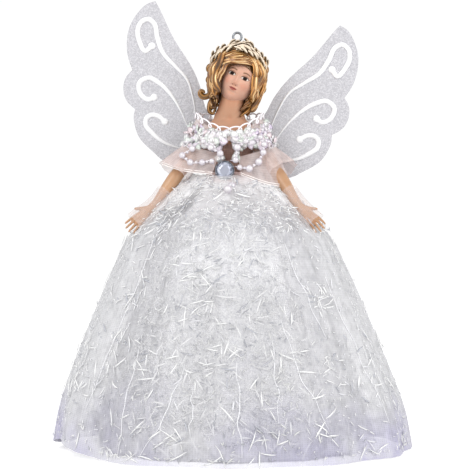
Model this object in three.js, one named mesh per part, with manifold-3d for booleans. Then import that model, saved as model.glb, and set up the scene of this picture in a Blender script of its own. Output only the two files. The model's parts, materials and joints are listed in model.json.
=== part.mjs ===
// Angel tree topper: a half doll with pinned arms, glitter wings, pearl trim and a layered tinsel skirt
// that hides a card cone. Millimetres, +Z up, the angel looks towards -Y and stands on z = 0.

import * as THREE from 'three';
import { mergeVertices } from 'three/addons/utils/BufferGeometryUtils.js';
import ManifoldModule from 'manifold-3d';

const wasm = await ManifoldModule();
wasm.setup();

// Skirt and the cone inside it
const hem_radius = 88;
const waist_height = 131;
const dome_radius = 50.7;
const dome_drop = 27;
const band_rise = 6;
const floor_gap = 0.6;
const hem_lift = 8.5;
const hem_lift_azimuth = 195;
const hem_lift_power = 6;
const fold_count = 12;
const fold_depth = 2.4;
const steps_per_fold = 4;
const overskirt_cloth = 0.5;
const net_cloth = 0.8;
const lining_cloth = 0.5;
const layer_gap = 0.4;
const net_hem_radius = 66;
const cone_room = 8;
const card = 1.2;
const cone_sides = 36;
const waist_shift = 1.25;

// Height up the long slope of the skirt, then radius between the dome and the hem
const slope_shares = [[0, 1], [0.18, 0.906], [0.62, 0.455]];
// Height up the dome, then radius between the waist band and the dome
const dome_shares = [[0.14, 0.92], [0.44, 0.68], [0.72, 0.37], [0.9, 0.15], [1, 0]];

// How far the net and the lining are drawn in under the overskirt, from the hem up to the waist band
const draw_in_shares = [1, 0.9, 0.74, 0.5, 0.32, 0.13, 0.03, 0, 0];

// Half doll
const waist_radius = 7.2;
const waist_depth_share = 0.84;
const shoulder_half_width = 13.6;
const chest_front = 9.2;
const back_depth = 6.8;
const torso_rise = 36;
const neck_radius = 5.6;
const neck_length = 12;
const neck_lean = 2.2;
const stem_radius = 6.2;
const stem_length = 12;
const seat_drop = 8;
const fit = 0.3;
const socket_face_share = 0.9;
const shoulder_height_share = 0.68;
const torso_sides = 20;
// Height, width, front depth and back depth up the chest
const chest_shares = [
  [0.36, 0.706, 0.79, 0.88], [0.5, 0.853, 1, 0.94], [0.61, 0.949, 0.957, 0.985], [0.69, 1, 0.826, 1],
  [0.78, 0.949, 0.717, 0.956], [0.86, 0.779, 0.609, 0.882], [0.93, 0.603, 0.522, 0.81]];

// Head, in its own tilted frame, with its middle between the eyes
const head_half_width = 8;
const head_half_depth = 9;
const head_half_height = 12;
const head_across = 5.4;
const head_forward = 0.5;
const head_over_neck = 6.2;
const head_drop_share = 0.08;
const head_tilt = 25;
const head_yaw = -6;
const nose_rise = 1.7;
const socket_depth = 0.7;
const lip_rise = 0.55;
const chin_rise = 0.7;
const brow_rise = 0.3;
const head_steps = 26;
const head_rows = 18;

// Hair
const hair_half_width = 14.6;
const hair_half_depth = 13.6;
const hair_half_height = 16.3;
const hair_across = -1.5;
const hair_back = 2;
const hair_over_eyes = 1;
const hair_tilt = 10;
const hair_fit = 0.42;
const wave_depth = 0.8;
const lock_count = 11;
const lock_radius = 2.4;
const hair_steps = 33;
const hair_rows = 12;
// Each loose lock's thickness, then its route: across, forward and up from the middle of the hair
const lock_route_shares = [
  [1, [0.8, 0.15, -0.3], [0.8, 0.25, -0.72], [0.58, 0.35, -1.02], [0.36, 0.45, -1.24], [0.16, 0.5, -1.36]],
  [0.9, [0.85, -0.1, -0.4], [0.84, 0, -0.75], [0.62, 0.1, -1.04]],
  [0.9, [-0.84, 0.15, -0.25], [-0.8, 0.15, -0.66], [-0.72, 0.2, -0.96], [-0.66, 0.2, -1.12]],
  [0.7, [-0.8, 0.1, -0.46], [-1.08, 0.1, -0.6], [-1.24, 0.1, -0.54], [-1.26, 0.1, -0.38]]];

// Tiara and hanging ring
const band_radius = 0.8;
const leaf_length = 4.4;
const leaf_width = 2;
const leaf_thick = 1.1;
const leaf_pairs = 6;
const tiara_sweep = 76;
const tiara_forward = 24;
const wire_radius = 0.6;
const ring_radius = 2.1;
const ring_lift = 0.4;
const ring_turn = -90;
const ring_fall = 11;
const shank_length = 6;

// Arms
const upper_arm = 20;
const forearm = 21;
const palm = 8;
const finger = 7.5;
const thumb_angle = 42;
const arm_radius = 3.9;
const wrist_radius = 2.2;
const palm_half_width = 3.1;
const palm_half_thick = 1.4;
const finger_radius = 0.75;
const ball_radius = 4.3;
const peg_radius = 2;
const peg_length = 3.6;
const upper_angle = 32;
const fore_angle = 33;
const hand_angle = 45;
const left_spread = 4.5;
const right_spread = -4.5;
const left_swing = 15;
const right_swing = 29;

// Clothes on the body
const body_gap = 0.3;
const cloth = 0.5;
const sash_thick = 1.2;
const sash_rise = 5.8;
const sash_lift = 0.9;
const bodice_rise = 10;
const collar_side_height = 32;
const collar_front_height = 26.5;
const collar_hem_height = 19;
const collar_top_out = 5.5;
const collar_flare = 10;
const collar_front_flare = 3;
const collar_back_flare = 4;
const collar_ruffle = 0.5;
const collar_notch = 3;
const collar_folds = 9;
const sleeve_start = 11;
const sleeve_length = 13;
const sleeve_out = 10.5;
const sleeve_in = 6.3;
const sleeve_front = 9;
const braid_radius = 0.5;
const scallop_rise = 1.5;
const scallop_count = 18;

// Brooch and pearls
const brooch_radius = 4.9;
const brooch_middle_x = -2.35;
const brooch_middle_z = 7.4;
const setting_back = 0.9;
const setting_wall = 0.7;
const setting_rise = 2;
const claw_count = 8;
const claw_radius = 0.55;
const gem_rise = 2.4;
const pearl_radius = 2;
const thread_radius = 0.4;
const swag_bow_share = 0.22;

// Wings
const wing_reach = 59;
const wing_rise = 70.5;
const wing_thick = 0.9;
const wing_tilt = 7.5;
const wing_root_height = 18;
const wing_part = 0.5;
const scroll_width = 2.3;
const scroll_tip_width = 0.7;
const scroll_rise = 0.8;
const scroll_blob = 3.4;
const glue_line = 0.1;

// Ribbon tails on the front of the skirt
const tail_gap = 0.4;
const left_tail_step = 33;
const right_tail_step = 37;

const degree = Math.PI / 180;

function material(colour, roughness, metalness = 0) {
  return new THREE.MeshStandardMaterial({ color: colour, roughness, metalness });
}

const skin = material(0xd9a98c, 0.5);
const gold_hair = material(0xb5802f, 0.45);
const silver = material(0xb9bcc2, 0.25, 1);
const blush_cloth = material(0xe6d6da, 0.6);
const white_cloth = material(0xe6e4ea, 0.7);
const tinsel = material(0xf2f2f6, 0.35);
const glitter = material(0xd3d1da, 0.5);
const paint = material(0xfbfbf9, 0.5);
const pearl = material(0xf3efe9, 0.25);
const rhinestone = material(0x8f97b4, 0.1);
const card_grey = material(0xd8d4cc, 0.9);

// Signed volume of a triangle list, which is negative where the faces point inwards
function signedVolume(points, faces) {
  let total = 0;
  for (const [a, b, c] of faces) {
    total += points[a].dot(new THREE.Vector3().crossVectors(points[b], points[c])) / 6;
  }
  return total;
}

function geometryFrom(points, faces) {
  const outward = signedVolume(points, faces) > 0;
  const geometry = new THREE.BufferGeometry();
  const places = points.flatMap((p) => p.toArray());
  geometry.setAttribute('position', new THREE.Float32BufferAttribute(places, 3));
  geometry.setIndex(faces.flatMap(([a, b, c]) => (outward ? [a, b, c] : [a, c, b])));
  return geometry;
}

// A closed skin over rings of points; both ends are closed by a fan, or the last ring joins the first
function loft(rings, joined = false) {
  const sides = rings[0].length;
  const points = rings.flat();
  const faces = [];
  const spans = joined ? rings.length : rings.length - 1;
  for (let i = 0; i < spans; i++) {
    const next = (i + 1) % rings.length;
    for (let j = 0; j < sides; j++) {
      const k = (j + 1) % sides;
      const [a, b] = [i * sides + j, i * sides + k];
      const [c, d] = [next * sides + k, next * sides + j];
      faces.push([a, b, c], [a, c, d]);
    }
  }
  if (!joined) {
    for (const [ring, turn] of [[0, true], [rings.length - 1, false]]) {
      const middle = rings[ring].reduce((sum, p) => sum.add(p), new THREE.Vector3()).divideScalar(sides);
      const hub = points.push(middle) - 1;
      for (let j = 0; j < sides; j++) {
        const [a, b] = [ring * sides + j, ring * sides + ((j + 1) % sides)];
        faces.push(turn ? [hub, b, a] : [hub, a, b]);
      }
    }
  }
  return geometryFrom(points, faces);
}

function toSolid(geometry) {
  const bare = geometry.clone();
  bare.deleteAttribute('normal');
  bare.deleteAttribute('uv');
  const merged = mergeVertices(bare.index ? bare.toNonIndexed() : bare, 1e-4);
  return new wasm.Manifold(new wasm.Mesh({
    numProp: 3,
    vertProperties: new Float32Array(merged.attributes.position.array),
    triVerts: new Uint32Array(merged.index.array),
  }));
}

function toGeometry(solid) {
  const { vertProperties, triVerts, numProp } = solid.getMesh();
  const points = [];
  for (let i = 0; i < vertProperties.length; i += numProp) {
    points.push(vertProperties[i], vertProperties[i + 1], vertProperties[i + 2]);
  }
  const geometry = new THREE.BufferGeometry();
  geometry.setAttribute('position', new THREE.Float32BufferAttribute(points, 3));
  geometry.setIndex(Array.from(triVerts));
  return geometry;
}

function join(geometries) {
  return geometries.map(toSolid).reduce((sum, solid) => sum.add(solid));
}

function named(name, geometry, finish) {
  const mesh = new THREE.Mesh(geometry, finish);
  mesh.name = name;
  return mesh;
}

function placed(geometry, x, y, z) {
  return geometry.translate(x, y, z);
}

// A tube of changing section along a curve; across(t) gives its half width and half thickness
function sweep(curve, across, steps, sides, flatAxis = new THREE.Vector3(0, 1, 0)) {
  const rings = [];
  for (let i = 0; i <= steps; i++) {
    const t = i / steps;
    const middle = curve.getPoint(t);
    const along = curve.getTangent(t);
    const wide = new THREE.Vector3().crossVectors(along, flatAxis).normalize();
    const thick = new THREE.Vector3().crossVectors(wide, along).normalize();
    const [half_width, half_thick] = across(t);
    const ring = [];
    for (let j = 0; j < sides; j++) {
      const turn = (2 * Math.PI * j) / sides;
      ring.push(middle.clone()
        .addScaledVector(wide, half_width * Math.cos(turn))
        .addScaledVector(thick, half_thick * Math.sin(turn)));
    }
    rings.push(ring);
  }
  return loft(rings);
}

function curveThrough(points) {
  return new THREE.CatmullRomCurve3(points, false, 'centripetal');
}

function mix(a, b, t) {
  return a + (b - a) * t;
}

function bump(value, middle, spread) {
  return Math.exp(-(((value - middle) / spread) ** 2));
}

// The skirt's outer profile from hem to waist band, as radius and height
const layers_thick = overskirt_cloth + net_cloth + lining_cloth + 2 * layer_gap;
const waist_band_radius = waist_radius + fit + layers_thick;
const dome_height = waist_height - dome_drop;
const skirt_profile = [
  ...slope_shares.map(([up, out]) => [mix(dome_radius, hem_radius, out), up * dome_height]),
  ...dome_shares.map(([up, out]) => [
    mix(waist_band_radius, dome_radius, out), mix(dome_height, waist_height, up)]),
  [waist_band_radius, waist_height + band_rise]];
const skirt_steps = fold_count * steps_per_fold;

function profileNormal(from, to) {
  const run = [to[0] - from[0], to[1] - from[1]];
  const length = Math.hypot(...run);
  return [run[1] / length, -run[0] / length];
}

// The way inwards at a station that keeps every layer the same distance off the one outside it
function inwardStep(i) {
  const last = skirt_profile.length - 1;
  if (i === 0) {
    return [1 / profileNormal(skirt_profile[0], skirt_profile[1])[0], 0];
  }
  if (i === last) {
    return [1, 0];
  }
  const below = profileNormal(skirt_profile[i - 1], skirt_profile[i]);
  const above = profileNormal(skirt_profile[i], skirt_profile[i + 1]);
  const both = 1 + below[0] * above[0] + below[1] * above[1];
  return [(below[0] + above[0]) / both, (below[1] + above[1]) / both];
}

function foldWave(azimuth) {
  const drift = 0.5 * Math.sin(2 * azimuth);
  return 0.75 * Math.cos(fold_count * azimuth + drift) + 0.25 * Math.cos(5 * azimuth + 1);
}

function hemHeight(azimuth) {
  const nearness = Math.max(0, Math.cos(azimuth - hem_lift_azimuth * degree));
  return floor_gap + hem_lift * nearness ** hem_lift_power;
}

// A point on the skirt: the station up its profile, the direction round it, and the depth under its outside
function skirtPoint(station, azimuth, depth, draw_in = 0) {
  const [radius, height] = skirt_profile[station];
  const step = inwardStep(station);
  const fullness = (radius - waist_band_radius) / (hem_radius - waist_band_radius);
  const body = radius - depth * step[0] - draw_in * draw_in_shares[station];
  const folded = body + fold_depth * fullness * foldWave(azimuth);
  const lifted = height - depth * step[1] + hemHeight(azimuth) * (1 - height / (waist_height + band_rise));
  const lean = -waist_shift * THREE.MathUtils.smoothstep(height, 0, waist_height);
  return new THREE.Vector3(lean + folded * Math.cos(azimuth), folded * Math.sin(azimuth), lifted);
}

function skirtLayer(outside, thick, draw_in) {
  const stations = skirt_profile.map((_, i) => i);
  const around = Array.from({ length: skirt_steps }, (_, j) => (2 * Math.PI * j) / skirt_steps);
  const ring = (depth) => (station) => around.map((azimuth) => skirtPoint(station, azimuth, depth, draw_in));
  const outer = stations.map(ring(outside));
  const inner = stations.reverse().map(ring(outside + thick));
  return loft([...outer, ...inner], true);
}

// Two narrow tails that lie on the dome, cut along the skirt's own grid
function ribbonTail(first_step) {
  return loft([7, 6, 5, 4, 3].map((station) => {
    const spread = station > 5 ? 1 : 2;
    const edge = (depth) => [0, 0.5, 1].map((share) => (
      skirtPoint(station, (2 * Math.PI * (first_step + spread * share)) / skirt_steps, depth)));
    return [...edge(-tail_gap), ...edge(-tail_gap - cloth).reverse()];
  }));
}

// Torso half width, front depth and back depth at a height above the waist
function torsoSize(height) {
  const rows = [
    [-seat_drop, waist_radius, waist_radius, waist_radius],
    [band_rise * 0.7, waist_radius, waist_radius * 0.95, waist_radius * 0.9],
    [torso_rise * 0.2, waist_radius, waist_radius * waist_depth_share, waist_radius * waist_depth_share],
    ...chest_shares.map(([up, width, front, back]) => [
      up * torso_rise, width * shoulder_half_width, front * chest_front, back * back_depth]),
    [torso_rise, neck_radius * 1.14, neck_radius * 0.84, neck_radius * 0.94],
    [torso_rise + neck_length * 0.35, neck_radius, neck_radius * 0.86, neck_radius * 0.9],
    [torso_rise + neck_length, neck_radius * 0.96, neck_radius * 0.9, neck_radius * 0.9]];
  const at = Math.max(1, rows.findIndex((row) => row[0] >= height));
  const [low, high] = [rows[at - 1], rows[at]];
  const t = THREE.MathUtils.clamp((height - low[0]) / (high[0] - low[0]), 0, 1);
  return { rows, half: [1, 2, 3].map((k) => mix(low[k], high[k], t)) };
}

// An oval ring round the body with its own front and back depth
function bodyRing(heightAt, grow, sides) {
  const ring = [];
  for (let j = 0; j < sides; j++) {
    const turn = (2 * Math.PI * j) / sides;
    const height = heightAt(turn);
    const [width, front, back] = torsoSize(height).half;
    const extra = grow(turn);
    const across = (width + extra[0]) * Math.cos(turn);
    const deep = ((Math.sin(turn) < 0 ? front : back) + extra[1]) * Math.sin(turn);
    ring.push(new THREE.Vector3(across, deep, height));
  }
  return ring;
}

function frameAt(middle, tilt, yaw) {
  const turn = new THREE.Quaternion().setFromEuler(new THREE.Euler(0, tilt * degree, yaw * degree));
  return new THREE.Matrix4().compose(middle, turn, new THREE.Vector3(1, 1, 1));
}

const head_middle = new THREE.Vector3(head_across, -head_forward, torso_rise + neck_length + head_over_neck);
const head_frame = frameAt(head_middle, head_tilt, head_yaw);
const hair_middle = head_middle.clone().add(new THREE.Vector3(hair_across, hair_back, hair_over_eyes));
const hair_frame = frameAt(hair_middle, hair_tilt, 0);

// The face is raised and sunk on an egg: jaw, nose, eye hollows, brow, lips and chin
function headPoint(turn, fall) {
  const side = Math.sin(fall) * Math.sin(turn);
  const front = Math.sin(fall) * Math.cos(turn);
  const up = Math.cos(fall);
  const jaw = Math.max(0, -up);
  const x = head_half_width * side * (1 - 0.36 * jaw * jaw);
  const z = head_half_height * (up - head_drop_share);
  let depth = head_half_depth * front * (1 - 0.12 * jaw * jaw);
  if (front > 0) {
    const across = x / head_half_width;
    const height = z / head_half_height;
    depth += nose_rise * bump(across, 0, 0.2) * (bump(height, -0.28, 0.13) + 0.55 * bump(height, -0.1, 0.16));
    depth -= socket_depth * (bump(across, -0.42, 0.2) + bump(across, 0.42, 0.2)) * bump(height, -0.01, 0.12);
    depth += brow_rise * bump(Math.abs(across), 0.42, 0.28) * bump(height, 0.17, 0.08);
    depth += lip_rise * bump(across, 0, 0.26) * bump(height, -0.53, 0.07);
    depth += chin_rise * bump(across, 0, 0.3) * bump(height, -0.85, 0.14);
  }
  return new THREE.Vector3(x, -depth, z);
}

function headGeometry() {
  const rings = [];
  for (let i = 1; i < head_rows; i++) {
    const t = i / head_rows;
    const fall = Math.PI * (t - 0.045 * Math.sin(2 * Math.PI * t));
    const ring = [];
    for (let j = 0; j < head_steps; j++) {
      const share = j / head_steps;
      ring.push(headPoint(2 * Math.PI * share - 0.6 * Math.sin(2 * Math.PI * share), fall));
    }
    rings.push(ring);
  }
  return loft(rings).applyMatrix4(head_frame);
}

const socket_face = shoulder_half_width * socket_face_share;
const shoulder_height = torso_rise * shoulder_height_share;
const ring_foot = hairPoint(ring_turn * degree, ring_fall * degree, 0);
const ring_middle = ring_foot.add(new THREE.Vector3(0, 0, ring_lift + ring_radius));

function pegTool(side, radius, length) {
  const peg = new THREE.CylinderGeometry(radius, radius, length, 16).rotateZ(Math.PI / 2);
  return placed(peg, side * (socket_face + fit - length / 2), 0, shoulder_height);
}

function shankTool(radius, length) {
  const shank = new THREE.CylinderGeometry(radius, radius, length, 8).rotateX(Math.PI / 2);
  return placed(shank, ring_middle.x, ring_middle.y, ring_middle.z - ring_radius - length / 2);
}

function leaned(ring, height) {
  const lean = neck_lean * Math.max(0, (height - torso_rise) / neck_length);
  return ring.map((point) => point.setX(point.x + lean));
}

function bust() {
  const rows = torsoSize(0).rows;
  const rings = rows.map(([height]) => {
    return leaned(bodyRing(() => height, () => [0, 0], torso_sides), height);
  });
  const stem_overlap = seat_drop / 2;
  const stem = new THREE.CylinderGeometry(stem_radius, stem_radius, stem_length + stem_overlap, 32);
  const stem_middle = -seat_drop - (stem_length - stem_overlap) / 2;
  let solid = join([loft(rings), headGeometry(), placed(stem.rotateX(Math.PI / 2), 0, 0, stem_middle)]);
  for (const side of [-1, 1]) {
    const slab = new THREE.BoxGeometry(shoulder_half_width, torso_rise, torso_rise);
    const beyond = side * (socket_face + shoulder_half_width / 2);
    solid = solid.subtract(toSolid(placed(slab, beyond, 0, shoulder_height)));
    solid = solid.subtract(toSolid(pegTool(side, peg_radius + fit, 2 * (peg_length + 2 * fit))));
  }
  return toGeometry(solid.subtract(toSolid(shankTool(wire_radius + fit, shank_length + fit))));
}

// A point over the hair: the fall from its top, the turn from its front, and the height off its waves
function hairPoint(turn, fall, lift, waved = false) {
  const flow = Math.sin(fall);
  const beat = lock_count * turn + 2.6 * Math.sin(2.4 * fall);
  const grow = (waved ? wave_depth * flow * Math.sin(beat) : wave_depth) + lift;
  const point = new THREE.Vector3(
    (hair_half_width + grow) * flow * Math.sin(turn),
    -(hair_half_depth + grow) * flow * Math.cos(turn),
    (hair_half_height + grow) * Math.cos(fall));
  return point.applyMatrix4(hair_frame);
}

function lock(points, wide) {
  return sweep(curveThrough(points), (t) => {
    const size = wide * (0.35 + 0.65 * Math.sin(Math.PI * (0.25 + 0.7 * t)));
    return [size, size * 0.8];
  }, 9, 6);
}

function hairSpot([across, forward, up]) {
  const spot = new THREE.Vector3(across * hair_half_width, -forward * hair_half_depth, up * hair_half_height);
  return spot.add(hair_middle);
}

function hair() {
  const rings = [];
  for (let i = 1; i < hair_rows; i++) {
    const ring = [];
    for (let j = 0; j < hair_steps; j++) {
      ring.push(hairPoint((2 * Math.PI * j) / hair_steps, (Math.PI * i) / hair_rows, 0, true));
    }
    rings.push(ring);
  }
  const locks = lock_route_shares.map(([size, ...route]) => lock(route.map(hairSpot), size * lock_radius));
  const room = new THREE.SphereGeometry(1, 18, 12);
  room.scale(head_half_width + hair_fit, head_half_depth + hair_fit, head_half_height + hair_fit);
  placed(room, 0, 0, -head_half_height * head_drop_share).applyMatrix4(head_frame);
  const window = new THREE.CylinderGeometry(1, 1, 1, 20);
  window.scale(head_half_width * 0.94, 4 * head_half_depth, head_half_height * 0.9);
  placed(window, 0, -2 * head_half_depth, -head_half_height * 0.42).applyMatrix4(head_frame);
  const neck_heights = [0.55, 0.8, 0.95, 1.05, 1.33].map((share) => share * torso_rise);
  const neck_room = loft(neck_heights.map((height) => leaned(
    bodyRing(() => height, () => [2 * fit, 2 * fit], 16), height)));
  const braid_top = 2 * (braid_radius + body_gap) + scallop_rise;
  const collar_grow = 2 * collar_ruffle + cloth + fit;
  const over_collar = collarRing(0, collar_grow).map((p) => p.setZ(p.z + braid_top));
  const collar_room = loft([...[1, 0.6, 0.3, 0].map((share) => collarRing(share, collar_grow)), over_collar]);
  let solid = join([loft(rings), ...locks]);
  const groove = sweep(tiaraArc(), () => [band_radius + fit, band_radius + fit], 20, 5);
  const shank_hole = shankTool(wire_radius + fit, 2 * shank_length);
  for (const tool of [room, window, neck_room, collar_room, groove, shank_hole]) {
    solid = solid.subtract(toSolid(tool));
  }
  const pieces = solid.decompose().sort((a, b) => b.volume() - a.volume());
  return toGeometry(pieces[0]);
}

// The leafy band runs over the crown from temple to temple, in a groove that it presses into the hair
function tiaraArc() {
  const lift = fit + 0.6 * leaf_thick - band_radius;
  const over = (share) => {
    const sway = mix(-tiara_sweep, tiara_sweep, share) * degree;
    const forward = tiara_forward * degree;
    const ahead = Math.cos(sway) * Math.sin(forward);
    return hairPoint(Math.atan2(Math.sin(sway), ahead), Math.acos(Math.cos(sway) * Math.cos(forward)), lift);
  };
  return curveThrough(Array.from({ length: 13 }, (_, i) => over(i / 12)));
}

function tiara() {
  const arc = tiaraArc();
  const band = sweep(arc, () => [band_radius, band_radius], 20, 5);
  const leaves = [];
  for (let i = 0; i < leaf_pairs; i++) {
    const share = (i + 0.5) / leaf_pairs;
    const along = arc.getTangent(share);
    const out = arc.getPoint(share).sub(hair_middle).normalize();
    for (const side of [-1, 1]) {
      const across = new THREE.Vector3().crossVectors(along, out).normalize().multiplyScalar(side * 0.75);
      const climb = share < 0.5 ? 1 : -1;
      const way = along.clone().multiplyScalar(climb).add(across).normalize();
      const leaf = new THREE.SphereGeometry(1, 5, 3).scale(leaf_width / 2, leaf_thick / 2, leaf_length / 2);
      const sideways = new THREE.Vector3().crossVectors(out, way).normalize();
      leaf.applyMatrix4(new THREE.Matrix4().makeBasis(sideways, out, way));
      const raise = band_radius + 0.15 * leaf_thick;
      const middle = arc.getPoint(share).addScaledVector(way, leaf_length * 0.4).addScaledVector(out, raise);
      leaves.push(placed(leaf, ...middle.toArray()));
    }
  }
  return toGeometry(join([band, ...leaves]));
}

function hangRing() {
  const eye = new THREE.TorusGeometry(ring_radius, wire_radius, 6, 16).rotateX(Math.PI / 2);
  const overlap = wire_radius;
  const shank = new THREE.CylinderGeometry(wire_radius, wire_radius, shank_length, 8).rotateX(Math.PI / 2);
  const shank_middle = ring_middle.z - ring_radius - shank_length / 2 + overlap / 2;
  return toGeometry(join([
    placed(eye, ...ring_middle.toArray()), placed(shank, ring_middle.x, ring_middle.y, shank_middle)]));
}

// The arm lies in its own plane, with the shoulder peg's axis through its start
function armRoute(side, spread) {
  const reach = (angle, length) => {
    const turn = (angle + spread) * degree;
    return new THREE.Vector3(side * Math.sin(turn) * length, 0, -Math.cos(turn) * length);
  };
  const elbow = reach(upper_angle, upper_arm);
  const wrist = elbow.clone().add(reach(fore_angle, forearm));
  const knuckles = wrist.clone().add(reach(hand_angle, palm));
  const curve = curveThrough([
    new THREE.Vector3(), elbow.clone().multiplyScalar(0.55), elbow,
    elbow.clone().lerp(wrist, 0.5), wrist, knuckles]);
  return { elbow, wrist, knuckles, heading: reach(hand_angle, 1), curve };
}

const arm_radius_shares = [[0, 1], [0.3, 0.95], [0.42, 0.84], [0.62, 0.76], [0.84, 0], [1, 0]];

function armSection(t) {
  const at = Math.max(1, arm_radius_shares.findIndex(([share]) => share >= t));
  const [low, high] = [arm_radius_shares[at - 1], arm_radius_shares[at]];
  const radius = mix(wrist_radius, arm_radius, mix(low[1], high[1], (t - low[0]) / (high[0] - low[0])));
  const hand = THREE.MathUtils.smoothstep(t, 0.84, 0.95);
  return [mix(radius, palm_half_width, hand), mix(radius * 0.92, palm_half_thick, hand)];
}

function arm(side, spread) {
  const { knuckles, wrist, heading, curve } = armRoute(side, spread);
  const digits = [];
  const across = new THREE.Vector3(heading.z, 0, -heading.x).multiplyScalar(side);
  const digit = (from, fan, length) => {
    const way = heading.clone().applyAxisAngle(new THREE.Vector3(0, side, 0), fan * degree);
    const start = from.clone().addScaledVector(way, -palm_half_width * 0.5);
    const end = from.clone().addScaledVector(way, length);
    const line = new THREE.LineCurve3(start, end);
    return sweep(line, (t) => [finger_radius * (1.15 - 0.5 * t), finger_radius * (1.1 - 0.5 * t)], 2, 5);
  };
  for (const [place, fan, long] of [[-0.78, -14, 0.8], [-0.27, -4, 0.97], [0.27, 5, 1], [0.78, 15, 0.88]]) {
    const from = knuckles.clone().addScaledVector(across, place * palm_half_width);
    digits.push(digit(from, fan, finger * long));
  }
  const thumb_root = wrist.clone().lerp(knuckles, 0.45).addScaledVector(across, -palm_half_width * 0.5);
  digits.push(digit(thumb_root, -thumb_angle, finger * 0.75));
  const ball = new THREE.SphereGeometry(ball_radius, 12, 8);
  let solid = join([sweep(curve, armSection, 14, 10), ball, ...digits]);
  const slab = new THREE.BoxGeometry(2 * upper_arm, 4 * upper_arm, 4 * upper_arm);
  solid = solid.subtract(toSolid(placed(slab, -side * upper_arm, 0, 0)));
  const peg = new THREE.CylinderGeometry(peg_radius, peg_radius, peg_length + ball_radius / 2, 12);
  const peg_middle = side * (ball_radius / 4 - peg_length / 2);
  return toGeometry(solid.add(toSolid(placed(peg.rotateZ(Math.PI / 2), peg_middle, 0, 0))));
}

// A flared tube of cloth round the upper arm, fuller on its outer side
function sleeve(side, spread) {
  const { curve } = armRoute(side, spread);
  const length = curve.getLength();
  const rows = 5;
  const sides = 16;
  const ring = (share, grow) => {
    const t = (sleeve_start + sleeve_length * share) / length;
    const middle = curve.getPointAt(t);
    const along = curve.getTangentAt(t);
    const out = new THREE.Vector3(-along.z, 0, along.x).multiplyScalar(side);
    if (out.x * side < 0) {
      out.negate();
    }
    const neck = arm_radius + body_gap;
    const flare = share ** 0.8;
    const points = [];
    for (let j = 0; j < sides; j++) {
      const turn = (2 * Math.PI * j) / sides;
      const ripple = 1 + 0.06 * share * Math.cos(8 * turn);
      const wide = mix(neck, Math.cos(turn) > 0 ? sleeve_out : sleeve_in, flare) * ripple + grow;
      const deep = mix(neck, sleeve_front, flare) * ripple + grow;
      const ahead = new THREE.Vector3(0, deep * Math.sin(turn), 0);
      points.push(middle.clone().addScaledVector(out, wide * Math.cos(turn)).add(ahead));
    }
    return points;
  };
  const shares = Array.from({ length: rows }, (_, i) => i / (rows - 1));
  return loft([...shares.map((s) => ring(s, 0)), ...shares.reverse().map((s) => ring(s, cloth))], true);
}

function frontness(turn) {
  return Math.max(0, -Math.sin(turn));
}

function necklineHeight(turn) {
  return mix(collar_side_height, collar_front_height, frontness(turn) ** 2);
}

// A short cape of lace over both shoulders, notched at the front
function collarRing(share, grow, sides = 36) {
  const hemAt = (turn) => collar_hem_height + collar_notch * frontness(turn) ** 12;
  const heightAt = (turn) => mix(necklineHeight(turn), hemAt(turn), share);
  return bodyRing(heightAt, (turn) => {
    const deep_flare = Math.sin(turn) < 0 ? collar_front_flare : collar_back_flare;
    const ruffle = collar_ruffle * share * Math.cos(collar_folds * turn);
    return [
      body_gap + mix(collar_top_out, collar_flare, share ** 1.4) + ruffle + grow,
      body_gap + deep_flare * share + ruffle + grow];
  }, sides);
}

function collar() {
  const shares = [0, 0.3, 0.6, 1];
  const inner = shares.map((share) => collarRing(share, collar_ruffle));
  const outer = shares.map((share) => collarRing(share, collar_ruffle + cloth));
  return loft([...inner, ...outer.reverse()], true);
}

// A scalloped cord that sits on the top edge of the collar
function necklineBraid() {
  const steps = scallop_count * 4;
  const seam = collarRing(0, collar_ruffle + cloth / 2, steps);
  const rings = [];
  for (let j = 0; j < steps; j++) {
    const turn = (2 * Math.PI * j) / steps;
    const lift = body_gap + braid_radius + scallop_rise * Math.abs(Math.sin((scallop_count * turn) / 2));
    const out = new THREE.Vector3(Math.cos(turn), Math.sin(turn), 0);
    const ring = [];
    for (let k = 0; k < 4; k++) {
      const angle = (Math.PI * (2 * k + 1)) / 4;
      ring.push(seam[j].clone()
        .addScaledVector(out, braid_radius * Math.cos(angle))
        .add(new THREE.Vector3(0, 0, lift + braid_radius * Math.sin(angle))));
    }
    rings.push(ring);
  }
  return loft(rings, true);
}

function sash() {
  const inner = waist_band_radius + body_gap;
  const profile = [
    [inner, sash_lift],
    [inner + sash_thick * 0.7, sash_lift],
    [inner + sash_thick, sash_lift + sash_rise * 0.3],
    [inner + sash_thick * 0.75, sash_lift + sash_rise * 0.55],
    [inner + sash_thick, sash_lift + sash_rise * 0.75],
    [inner + sash_thick * 0.6, sash_lift + sash_rise],
    [inner, sash_lift + sash_rise]];
  const rings = profile.map(([radius, height]) => {
    const ring = [];
    for (let j = 0; j < 24; j++) {
      const turn = (2 * Math.PI * j) / 24;
      ring.push(new THREE.Vector3(radius * Math.cos(turn), radius * Math.sin(turn), height));
    }
    return ring;
  });
  return loft(rings, true);
}

const bodice_foot = band_rise + body_gap;

function bodice() {
  const shares = [0, 0.5, 1];
  const ring = (grow) => (share) => bodyRing(
    () => bodice_foot + bodice_rise * share, () => [body_gap + grow, body_gap + grow], 24);
  return loft([...shares.map(ring(0)), ...shares.reverse().map(ring(cloth))], true);
}

const sash_front = waist_band_radius + body_gap + sash_thick;
const collar_front = chest_front + body_gap + collar_front_flare + 2 * collar_ruffle + cloth;
const collar_back = back_depth + body_gap + collar_back_flare + 2 * collar_ruffle + cloth;

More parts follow.
